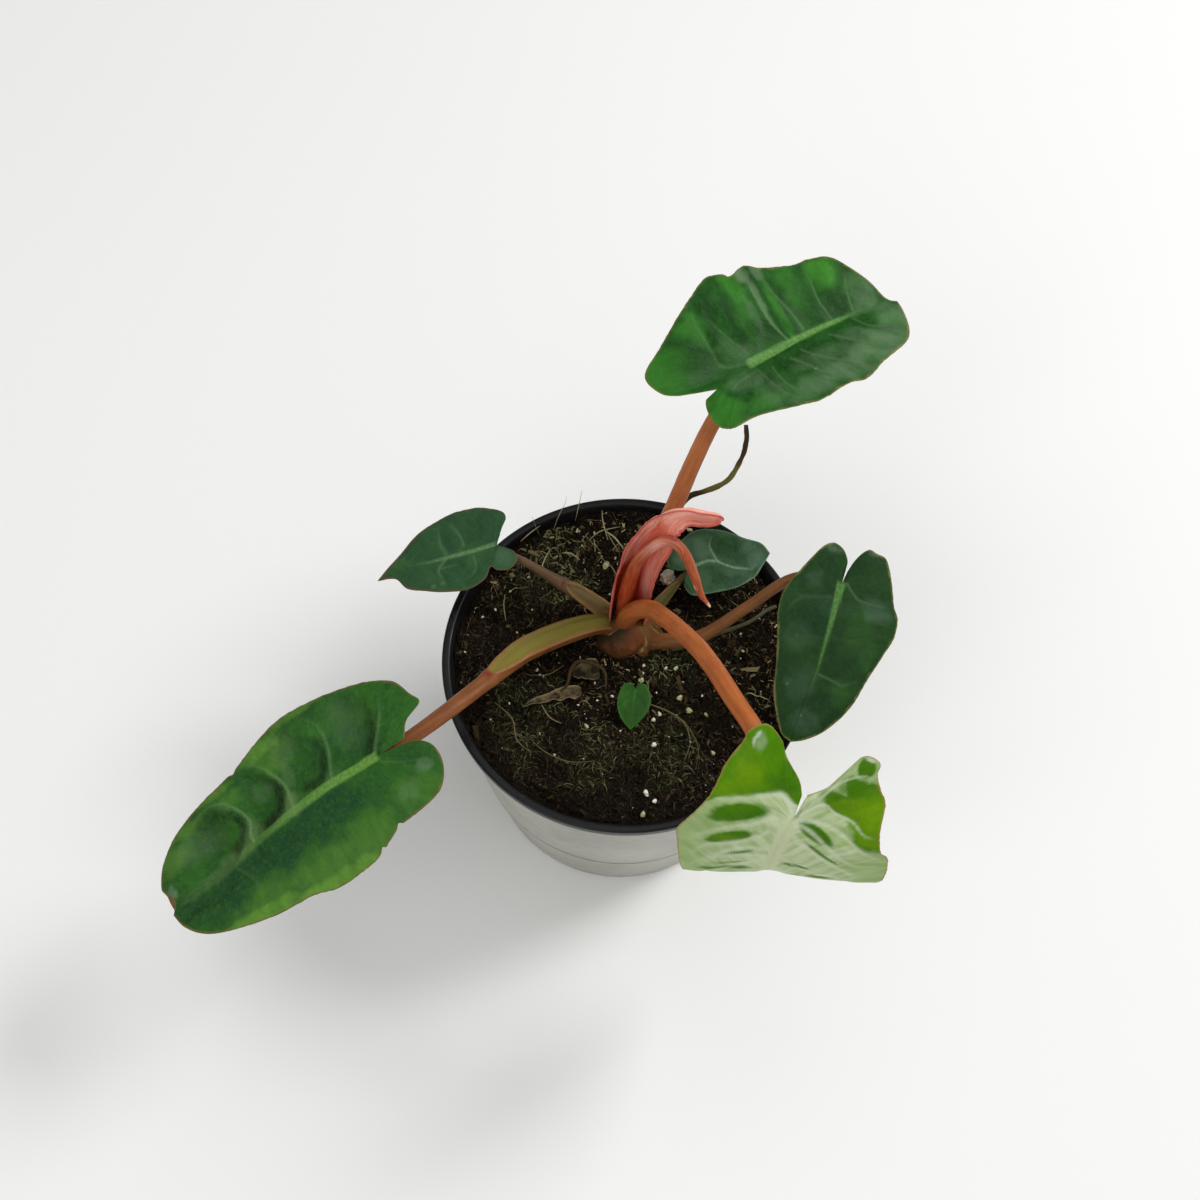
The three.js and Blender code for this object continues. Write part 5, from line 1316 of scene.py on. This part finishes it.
POT = dict(height=90, rim=60, flange=3, lip=4.5, base=45.4, wall=1.3, step_z=32, step=0.8,
           holes=6, hole_radius=4, hole_circle=33)
POT_SIDES = 160
STEP_SHADE_REACH = 3.0                # how near the step the profile is cut finely, for the painted shade line there
FLANGE_POINTS = 16              # points of the profile from under the flange over its top to the inside


def rounded(corners, radius, steps=5):
    """A profile with each inner corner cut by a small arc of the given size."""
    corners = np.asarray(corners, float)
    path = [corners[0]]
    for before, corner, after in zip(corners[:-2], corners[1:-1], corners[2:]):
        reach = min(radius, np.linalg.norm(corner - before) / 2.2, np.linalg.norm(after - corner) / 2.2)
        start = corner + normalised(before - corner) * reach
        end = corner + normalised(after - corner) * reach
        for w in np.linspace(0, 1, steps):
            path.append((1 - w) ** 2 * start + 2 * w * (1 - w) * corner + w ** 2 * end)
    return np.array(path + [corners[-1]])


def refined(path, shortest, chosen):
    """The path with every stretch that chosen accepts cut into equal pieces no shorter than shortest."""
    fine = [path[0]]
    for a, b in zip(path[:-1], path[1:]):
        pieces = max(1, int(np.linalg.norm(b - a) / shortest)) if chosen(a, b) else 1
        fine.extend(a + (b - a) * (k + 1) / pieces for k in range(pieces))
    return np.array(fine)


def make_pot():
    """A turned profile: wall, step, rolled flange and inside, with drain holes drilled through its floor."""
    p = POT
    lip_wall, below = p["rim"] - 1.6, p["height"] - p["lip"]

    def wall_at(z):
        return p["base"] + (lip_wall - p["base"]) * z / below

    corners = [
        (0, 0), (p["base"], 0), (wall_at(p["step_z"] - 1), p["step_z"] - 1),
        (wall_at(p["step_z"]) + p["step"], p["step_z"]), (lip_wall, below), (p["rim"] - 0.5, below),
        (p["rim"], p["height"]), (p["rim"] - p["flange"] + 0.2, p["height"]),
        (lip_wall - p["wall"] - 1.2, below - 2),
        (wall_at(p["step_z"]) + p["step"] - p["wall"], p["step_z"] + 1),
        (wall_at(p["step_z"] - 1) - p["wall"], p["step_z"] - 0.5), (p["base"] - p["wall"], p["wall"]),
        (0, p["wall"])]

    def outside_by_step(a, b):
        near = min(abs(a[1] - p["step_z"]), abs(b[1] - p["step_z"])) < STEP_SHADE_REACH
        return near and a[0] > wall_at(a[1]) - 0.3

    path = refined(rounded(corners, 0.9), 6.0, lambda a, b: True)
    path = refined(path, 0.5, outside_by_step)
    angle = full_turn(POT_SIDES)[None, :]
    r, z = path[:, :1], path[:, 1:]
    points = np.stack([r * np.cos(angle), r * np.sin(angle), z + 0 * angle], axis=-1).reshape(-1, 3)
    walked = np.arange(len(path))
    flange_from = int(np.argmax((path[:, 1] > below - 0.2) & (path[:, 0] > lip_wall - 0.3)))
    masks = dict(
        black=(walked >= flange_from).astype(float),
        inside=(walked >= flange_from + FLANGE_POINTS).astype(float),
        # step_shade: painted shade along the step
        step_shade=bell(path[:, 1] - p["step_z"] - 0.5, 1.4) * (walked < flange_from))
    masks = {key: np.repeat(value, POT_SIDES) for key, value in masks.items()}
    faces = [q[::-1] for q in grid_faces(len(path), POT_SIDES, wrap=True)]
    piece = make_piece("pot_shell", points, faces, masks, pot_paint(), ["pot"])
    welded(piece)
    drill_holes(piece)


def drill_holes(piece):
    """Cuts the drain holes with short cylinders, then leaves a plain mesh."""
    sides, ends = 24, (-3, 5)
    turn = full_turn(sides)
    points, faces = [], []
    for hole in range(POT["holes"]):
        angle = 2 * math.pi * hole / POT["holes"]
        x = POT["hole_circle"] * math.cos(angle) + POT["hole_radius"] * np.cos(turn)
        y = POT["hole_circle"] * math.sin(angle) + POT["hole_radius"] * np.sin(turn)
        low = len(points)
        high = low + sides
        for z in ends:
            points.extend(zip(x * MM, y * MM, np.full(sides, z * MM)))
        faces.append([low + k for k in reversed(range(sides))])
        faces.append([high + k for k in range(sides)])
        faces.extend([low + k, low + (k + 1) % sides, high + (k + 1) % sides, high + k] for k in range(sides))
    mesh = bpy.data.meshes.new("drill")
    mesh.from_pydata([tuple(map(float, q)) for q in points], [], faces)
    drill = bpy.data.objects.new("drill", mesh)
    into_scene(drill)
    cut = piece.modifiers.new("holes", "BOOLEAN")
    cut.operation, cut.solver, cut.object = "DIFFERENCE", "EXACT", drill
    graph = bpy.context.evaluated_depsgraph_get()
    made = bpy.data.meshes.new_from_object(piece.evaluated_get(graph))
    piece.modifiers.clear()
    piece.data = made
    bpy.data.objects.remove(drill)


# Potting mix

SOIL = dict(level=84, lump=1.5, crumb=0.5, radius=56.2, rings=125, spokes=300)
MIX_REACH = 55.0                # fibres end at this distance from the pot's middle
MOSS = [(-27, 32, 16), (-33, -22, 18), (15, 3, 10), (12, -30, 12), (-10, -33, 12)]      # middle and size


def soil_base(x, y):
    """The lumps of the part's source, heaped a little against the wall at the back."""
    lumps = np.sin(x / 9 + 1) * np.cos(y / 8 - 0.6) + 0.6 * np.sin((x + 2 * y) / 11)
    crumbs = np.sin(x / 2.7 + 2 * np.sin(y / 6)) * np.cos(y / 3.1 + np.sin(x / 5))
    heap = 2.8 * ease(40, 55, np.hypot(x, y)) * ease(12, 42, y)
    return SOIL["level"] + SOIL["lump"] * lumps + SOIL["crumb"] * crumbs + heap


def soil_top(x, y):
    """Height of the mix: the source's lumps with clods, crumbs and grains of ever smaller size on them."""
    fine = 0.0
    for size, height, seed in ((7.0, 0.9, 51), (3.4, 0.75, 52), (1.7, 0.5, 53), (0.9, 0.28, 54)):
        fine = fine + height * (1 - 2 * np.abs(uneven(x, y, size, seed)))
    return soil_base(x, y) + 0.95 * fine


def moss_share(x, y):
    """1 inside the mossy patches, 0 away from them, with ragged edges."""
    share = 0.0
    for cx, cy, size in MOSS:
        ragged = np.hypot(x - cx, y - cy) / size + 0.5 * uneven(x, y, 5.0, 55)
        share = np.maximum(share, ease(1.1, 0.6, ragged))
    return share


def make_soil():
    """A disc of rings and spokes lifted to the mix's height, closed by a plain tapering body in the pot."""
    s = SOIL
    k = np.linspace(1, 0, s["rings"] + 1)[:, None]
    angle = full_turn(s["spokes"])[None, :]
    radius = s["radius"] * k ** 0.75
    x, y = radius * np.cos(angle), radius * np.sin(angle)
    z = soil_top(x, y)
    # low: where the surface dips below the source's lumps, for painted shade in the hollows
    low = ease(0.2, -1.0, z - soil_base(x, y))
    sides = [(POT["base"] - 4, 2), (POT["base"] - 2.2, 4), (s["radius"] - 0.6, s["level"] - 6)]
    body = [np.stack([r * np.cos(angle[0]), r * np.sin(angle[0]), np.full(s["spokes"], h)], axis=-1)
            for r, h in sides]
    rings = np.concatenate([np.array(body), np.stack([x, y, z], axis=-1)])
    points = np.concatenate([rings.reshape(-1, 3), [[0, 0, 2]]])
    faces = [list(q[::-1]) for q in grid_faces(len(rings), s["spokes"], wrap=True)]
    bottom = len(points) - 1
    faces.extend([bottom, (j + 1) % s["spokes"], j] for j in range(s["spokes"]))
    zeros = np.zeros(3 * s["spokes"])
    masks = dict(
        moss=np.concatenate([zeros, moss_share(x, y).ravel(), [0]]),
        low=np.concatenate([zeros, low.ravel(), [0]]))
    welded(make_piece("potting_mix", points, faces, masks, soil_paint(), ["soil"]))


def strands(starts, headings, lengths, radii, curls, lifts, tones, moss, rows=6, sides=3):
    """Many thin bent strands at once: each one curls in the plane and bows up, on whole arrays."""
    count = len(starts)
    f = np.linspace(0, 1, rows)[None, :]
    turn = headings[:, None] + curls[:, None] * (f - 0.5)
    step = lengths[:, None] / (rows - 1)
    x = starts[:, :1] + np.cumsum(np.cos(turn) * step, axis=1)
    y = starts[:, 1:2] + np.cumsum(np.sin(turn) * step, axis=1)
    inside = np.minimum(1, MIX_REACH / np.maximum(np.hypot(x, y), 1e-6))
    x, y = x * inside, y * inside
    z = soil_top(x, y) + radii[:, None] * 0.4 + lifts[:, None] * np.sin(np.pi * f)
    places = np.stack([x, y, z], axis=-1)
    ahead = normalised(np.gradient(places, axis=1))
    side = normalised(np.cross(ahead, [0, 0, 1.0]))
    above = np.cross(side, ahead)
    around = full_turn(sides)
    thin = radii[:, None, None, None] * (1 - 0.7 * np.abs(2 * f - 1) ** 3)[:, :, None, None]
    ring = (np.cos(around)[None, None, :, None] * side[:, :, None, :]
            + np.sin(around)[None, None, :, None] * above[:, :, None, :])
    points = (places[:, :, None, :] + thin * ring).reshape(-1, 3)
    one = grid_faces(rows, sides, wrap=True)
    caps = np.array([[sides - 1 - k for k in range(sides)], [(rows - 1) * sides + k for k in range(sides)]])
    offsets = (np.arange(count) * rows * sides)[:, None, None]
    faces = (one[None] + offsets).reshape(-1, 4).tolist() + (caps[None] + offsets).reshape(-1, sides).tolist()
    masks = dict(tone=np.repeat(tones, rows * sides), moss=np.repeat(moss, rows * sides))
    return points, faces, masks


def disc_places(random, count, radius):
    """Places spread evenly over a disc: the distance from its middle is the root of a random share."""
    r = radius * np.sqrt(random.random(count))
    angle = random.uniform(0, 2 * np.pi, count)
    return np.stack([r * np.cos(angle), r * np.sin(angle)], axis=1)


def light_share(places):
    """The mix is lighter at the back and the right, and lighter in some patches than in others."""
    x, y = places[:, 0], places[:, 1]
    slope = 0.85 + 0.35 * y / MIX_REACH + 0.2 * x / MIX_REACH
    return np.clip(slope + 0.35 * uneven(x, y, 12.0, 56), 0.3, 1.4)


def make_fibres(material):
    """Short curly fibres all over the mix, denser and greener on the mossy patches."""
    random = np.random.default_rng(61)
    starts = disc_places(random, 7600, 54.8)
    moss = moss_share(starts[:, 0], starts[:, 1])
    kept = random.random(len(starts)) < 0.42 + 0.58 * moss
    starts, moss = starts[kept], moss[kept]
    count = len(starts)
    mossy = (random.random(count) < 0.75 * moss).astype(float)
    lengths = random.gamma(2.0, 0.9, count) * (1 - 0.2 * mossy) + 0.7
    radii = random.uniform(0.07, 0.24, count)
    tones = random.beta(1.1, 1.6, count) * light_share(starts)
    points, faces, masks = strands(
        starts, random.uniform(0, 2 * np.pi, count), lengths, radii, random.normal(0, 0.9, count),
        random.uniform(0.0, 1.1, count), tones, mossy)
    make_piece("mix_fibres", points, faces, masks, material, ())


def make_chips(material):
    """Bark chips and crumbs: bricks with jittered corners, tipped at random and half sunk in the mix."""
    random = np.random.default_rng(62)
    count = 5200
    places = disc_places(random, count, 54.5)
    size = random.gamma(2.0, 0.1, count) + 0.12
    corner = np.array([(a, b, c) for a in (-1, 1) for b in (-1, 1) for c in (-1, 1)], float)
    length, depth = random.uniform(0.8, 4.5, count), random.uniform(0.3, 0.8, count)
    shape = np.stack([size * length, size, size * depth], axis=1)
    points = corner[None] * shape[:, None, :] * random.uniform(0.2, 1.0, (count, 8, 1))
    turn, tip = random.uniform(0, 2 * np.pi, count), random.normal(0, 0.45, count)
    c, s = np.cos(turn)[:, None], np.sin(turn)[:, None]
    ct, st = np.cos(tip)[:, None], np.sin(tip)[:, None]
    x, y, z = points[..., 0], points[..., 1], points[..., 2]
    x, z = x * ct - z * st, x * st + z * ct
    x, y = x * c - y * s, x * s + y * c
    ground = soil_top(places[:, 0], places[:, 1])
    points = np.stack([x + places[:, :1], y + places[:, 1:], z + ground[:, None] + 0.1], axis=-1)
    brick = np.array([(0, 1, 3, 2), (4, 6, 7, 5), (0, 4, 5, 1), (2, 3, 7, 6), (0, 2, 6, 4), (1, 5, 7, 3)])
    faces = (brick[None] + (np.arange(count) * 8)[:, None, None]).reshape(-1, 4)
    tones = random.beta(1.1, 1.9, count) * light_share(places)
    masks = dict(tone=np.repeat(tones, 8), moss=np.zeros(count * 8))
    make_piece("mix_chips", points.reshape(-1, 3), faces, masks, material, (), smooth=False)


def lump(radius, level, seed):
    """A porous grain: a ball of points pushed in and out."""
    work = bmesh.new()
    bmesh.ops.create_icosphere(work, subdivisions=level, radius=radius)
    points = np.array([v.co for v in work.verts])
    faces = [[v.index for v in face.verts] for face in work.faces]
    work.free()
    x, y, z = points.T
    push = 1 + 0.4 * uneven(x + 2 * z, y - z, 0.9 * radius, seed)
    push = push + 0.25 * uneven(2 * x - z, 2 * y + 3 * z, 0.9 * radius, seed + 1)
    return points * push[:, None], faces


# Larger grains where they lie: (x, y, radius, how yellow-green)

GRAINS = [
    (5.4, -5.6, 1.3, 0.8), (5.8, -3.1, 0.7, 0.1), (6.1, -1.3, 0.7, 0.7), (13.2, -1.7, 0.8, 0.4),
    (16.6, -1.6, 1.1, 0.4), (19, -5.8, 0.6, 0.5), (25.4, -10.1, 0.7, 0.2), (18.1, -11.5, 1.3, 0.9),
    (21, -16, 1.2, 1.0), (9.8, -18.9, 0.9, 0.3), (11.7, -17, 1.0, 0.3), (26.6, -17.1, 0.9, 1.0),
    (-21.8, 0.5, 0.35, 0), (-28.7, -3.6, 0.7, 0), (-9.8, -6.6, 0.5, 0.3), (-17.4, -11.5, 0.5, 0),
    (-8.7, -13.6, 0.5, 0), (-14.9, -16, 0.6, 0.2), (-3.9, -11.5, 0.8, 0.2), (-11.8, -22.9, 1.1, 0.9),
    (-27.1, -25.9, 0.6, 0.2), (-30.9, -26.4, 0.5, 0.1), (-7.6, 36.7, 1.6, 0.9), (29, -29.5, 1.2, 0.8),
    (7.6, -45.1, 1.3, 0.1), (10.6, -47.7, 0.9, 0.1), (7.1, -51.6, 1.4, 0.9), (9.9, -27.5, 1.0, 0.1),
    (-52.8, 1.3, 0.5, 0)]


def make_perlite(material):
    """White grains, copies of one rough ball with their own size and turn, and the large lump."""
    random = np.random.default_rng(63)
    ball, triangles = lump(1.0, 2, 5)
    triangles = np.array(triangles)
    places = disc_places(random, 120, 54)
    size = np.minimum(random.gamma(1.8, 0.09, len(places)) + 0.1, 0.45)
    stain = random.beta(0.8, 1.6, len(places))
    grains = np.array(GRAINS)
    places = np.concatenate([places, grains[:, :2]])
    size, stain = np.concatenate([size, 0.8 * grains[:, 2]]), np.concatenate([stain, grains[:, 3]])
    angle = random.uniform(0, 2 * np.pi, len(places))
    c, s = np.cos(angle)[:, None], np.sin(angle)[:, None]
    squash = random.uniform(0.6, 0.95, len(places))[:, None]
    x = (ball[None, :, 0] * c - squash * ball[None, :, 1] * s) * size[:, None] + places[:, :1]
    y = (ball[None, :, 0] * s + squash * ball[None, :, 1] * c) * size[:, None] + places[:, 1:]
    z = ball[None, :, 2] * size[:, None] + (soil_top(places[:, 0], places[:, 1]) + 0.35 * size)[:, None]
    points = np.stack([x, y, z], axis=-1).reshape(-1, 3)
    faces = (triangles[None] + (np.arange(len(places)) * len(ball))[:, None, None]).reshape(-1, 3)
    masks = dict(tone=np.repeat(stain, len(ball)))
    make_piece("perlite_grains", points, faces, masks, material, (), smooth=False)
    points, faces = lump(2.4, 4, 9)
    points = points * (0.85, 0.95, 1.2) + (13.2, 31.8, soil_base(13.5, 32.5) + 2.4)
    masks = dict(tone=np.full(len(points), 0.25))
    piece = make_piece("perlite_lump", points, faces, masks, material, ["perlite"])
    welded(piece, 0.001 * MM)


# Straws and roots that lie on the mix or poke out over the rim: (points, radius, tone)

STRAWS = [
    ([(-18.5, 52.5, 86), (-17.6, 53.5, 93), (-16.5, 57, 99)], 0.13, 0.97),
    ([(-26, 48, 86), (-24, 51, 92), (-22, 53, 97), (-21.5, 54.5, 99)], 0.1, 0.95),
    ([(-30, 45.5, 86), (-31.5, 46.5, 91), (-33, 49, 94)], 0.1, 0.9),
    ([(-14, 44, 87), (-10, 47, 89), (-3, 49.5, 88.5)], 0.21, 0.92),
    ([(-7, 45, 86), (-9, 50, 90), (-9.5, 53, 93)], 0.21, 0.96),
    ([(-8.4, 47.7, 88.6), (-5, 45, 89), (-1.8, 41.6, 87.4)], 0.26, 0.97),
    ([(-7.4, 46.6, 88.6), (-5.6, 43.6, 88.4), (-3.2, 40.4, 87)], 0.16, 0.9),
    ([(-9, 38, 86.5), (-5.5, 34.5, 87.2), (-3, 30, 86)], 0.18, 0.88),
    ([(-29.6, 32, 86.4), (-28.2, 36, 88), (-26.4, 40, 88.2)], 0.22, 0.97),
    ([(-22.4, 39, 87.6), (-19.4, 38.4, 88.6), (-16.4, 37, 87)], 0.26, 0.95),
    ([(-36.6, 42.4, 88.4), (-33.4, 45, 90), (-30.2, 47.6, 90.4)], 0.2, 0.95),
    ([(-3, -13, 87), (8, -15.5, 88.5), (18, -20, 88.2), (21.5, -27, 87), (19.5, -34, 86)], 0.22, 0.7),
    ([(14, -17, 87), (20, -22, 88), (24, -29, 87.3), (23.5, -36, 86)], 0.2, 0.62),
    ([(-30, -28, 86.5), (-25, -33, 88), (-17, -36, 87.5), (-9, -35, 86.5)], 0.21, 0.66),
    ([(-42, -16, 86.5), (-36, -22, 87.8), (-34, -29, 87), (-29, -33, 86.3)], 0.21, 0.72),
    ([(-28, -14, 87), (-24, -21, 88), (-19, -23, 87)], 0.24, 0.8),
    ([(28, -4, 87), (33, -9, 88), (36, -16, 87)], 0.17, 0.6),
    ([(-12, 24, 87), (-18, 28, 88.3), (-24, 27, 87)], 0.17, 0.75),
    ([(30, 28, 86.5), (36, 22, 87.8), (42, 20, 87)], 0.17, 0.7),
    ([(-40.8, 23.2, 86.6), (-40.9, 18.4, 88), (-40, 13.4, 86.8)], 0.2, 0.9),
    ([(-20, -2, 86.8), (-25, -6, 87.8), (-31, -6, 86.8)], 0.17, 0.7),
    ([(-21.9, -12.4, 86.5), (-18.8, -9.8, 88.5), (-17.7, -5.1, 89.5), (-15.5, -1.8, 89.5),
      (-11.6, -2, 89.4), (-6.9, -4.3, 88.8), (-6.1, -10, 86.8)], 0.7, 0.5),
]


def make_straws(material):
    """All straws and roots as one piece: thin tubes that taper at both ends."""
    points, faces, tones = [], [], []
    for route, radius, tone in STRAWS:
        radii = [0.5 * radius, radius, radius, 0.4 * radius]
        made, quads = tube(route, radii, (0, 0, 1), steps=28, sides=6)[:2]
        start = sum(len(p) for p in points)
        points.append(made)
        faces.extend([start + int(k) for k in q] for q in quads)
        tones.append(np.full(len(made), tone))
    tones = np.concatenate(tones)
    masks = dict(tone=tones, moss=np.zeros(len(tones)))
    make_piece("straws_and_roots", np.concatenate(points), faces, masks, material, ())


# Dead leaf scraps

SCRAPS = {
    "leaf_scrap_pointed": dict(start=(-33, -17.5), end=(-14, -11), half=3.4, curl=1.8, above=1.1, taper=0.9),
    "leaf_scrap_curled": dict(start=(-17, -5), end=(-8.5, -3.5), half=4.6, curl=4.5, above=1.3, taper=0.35),
}


def make_scraps():
    """Curled thin sheets: pointed at their start, torn at their end, sides lifted from the mix, crinkled."""
    material = dry_paint("dead_leaf", "#2e2617", "#857149", "#a8956e")
    for seed, (name, s) in enumerate(SCRAPS.items()):
        start, end = np.array(s["start"]), np.array(s["end"])
        ahead = normalised(end - start)
        f = np.linspace(0.002, 1, 61)[:, None]
        w = np.linspace(-1, 1, 41)[None, :]
        torn = 1 + 0.16 * uneven(f * 9, np.sign(w) * 4, 1.0, 70 + seed)
        width = s["half"] * f ** s["taper"] * np.sqrt(1 - 0.97 * f ** 8) * torn
        x = start[0] + (end[0] - start[0]) * f - ahead[1] * w * width
        y = start[1] + (end[1] - start[1]) * f + ahead[0] * w * width
        lift = s["curl"] * w * w * (0.5 + 0.5 * f) + 0.4 * np.sin(5 * f)
        crinkle = 0.8 * uneven(x, y, 2.4, 80 + seed)
        crinkle = crinkle + 0.7 * np.abs(uneven(x, y, 1.2, 90 + seed))
        z = soil_base(x, y) + s["above"] + 0.5 + lift + crinkle
        middle = np.stack([x, y, z], axis=-1)
        up = np.array([0, 0, 0.18])
        points, faces = sheet_shell(middle + up, middle - up)
        rim = ease(0.75, 1.0, np.abs(w)) + 0 * f
        tone = 0.4 - 0.2 * seed + 0.6 * w * w + 0.4 * uneven(x, y, 1.6, 95 + seed)
        masks = dict(edge=np.tile(0.9 * rim.ravel(), 2), tone=np.tile(tone.ravel(), 2))
        welded(make_piece(f"{name}_sheet", points, faces, masks, material, [name]))


# Studio

def make_camera():
    """The photograph's camera: its own axes are turned about the line of sight by the roll."""
    tilt, roll = math.radians(CAMERA_TILT), math.radians(CAMERA_ROLL)
    back = np.array([0, -math.cos(tilt), math.sin(tilt)])
    right = np.array([1.0, 0, 0])
    up = np.cross(back, right)
    across = math.cos(roll) * right + math.sin(roll) * up
    above = -math.sin(roll) * right + math.cos(roll) * up
    turn = Matrix([list(row) for row in np.stack([across, above, back], axis=1)])
    camera = bpy.data.objects.new("camera", bpy.data.cameras.new("camera"))
    camera.data.lens = LENS
    camera.data.sensor_width = 36.0
    camera.data.clip_start = 0.01
    camera.data.clip_end = 20.0
    camera.matrix_world = Matrix.Translation(CAMERA_AT) @ turn.to_4x4()
    into_scene(camera)
    bpy.context.scene.camera = camera


def add_light(name, place, aim, size, power):
    """A round lamp of the given size in metres and power in watts, turned to what it lights."""
    light = bpy.data.objects.new(name, bpy.data.lights.new(name, "AREA"))
    light.data.shape = "DISK"
    light.data.size = size
    light.data.energy = power
    back = normalised(np.array(place, float) - np.array(aim, float))
    side = normalised(np.cross([0, 0, 1.0], back) + np.array([1e-6, 0, 0]))
    turn = Matrix([list(row) for row in np.stack([side, np.cross(back, side), back], axis=1)])
    light.matrix_world = Matrix.Translation(place) @ turn.to_4x4()
    into_scene(light)


def make_studio():
    """Strong light from the right and back, a soft fill from the front, and a white floor."""
    bpy.context.scene.view_settings.view_transform = "Standard"
    world = bpy.data.worlds.new("studio")
    world.use_nodes = True
    world.node_tree.nodes["Background"].inputs["Color"].default_value = (1.0, 1.0, 1.0, 1.0)
    world.node_tree.nodes["Background"].inputs["Strength"].default_value = 0.42
    bpy.context.scene.world = world
    add_light("key", (1.1, 0.55, 1.3), (0, 0, 0.1), 0.6, 15)
    add_light("overhead", (0.1, 0.2, 1.6), (0, 0, 0), 1.2, 3)
    add_light("fill", (-0.6, -1.0, 1.2), (0, 0, 0.1), 1.0, 6)
    side = 3.0
    corners = [(-side, -side, 0), (side, -side, 0), (side, side, 0), (-side, side, 0)]
    mesh = bpy.data.meshes.new("floor")
    mesh.from_pydata(corners, [], [(0, 1, 2, 3)])
    mesh.materials.append(floor_paint())
    floor = bpy.data.objects.new("floor", mesh)
    floor.location.z = -0.0002
    into_scene(floor)


make_camera()
make_studio()
make_leaves()
make_stalks()
PINK = sheath_paint()
make_sheath(PINK)
make_spike(PINK)
make_crown()
make_pot()
make_soil()
FIBRE = fibre_paint()
make_fibres(FIBRE)
make_chips(FIBRE)
make_straws(FIBRE)
make_perlite(perlite_paint())
make_scraps()
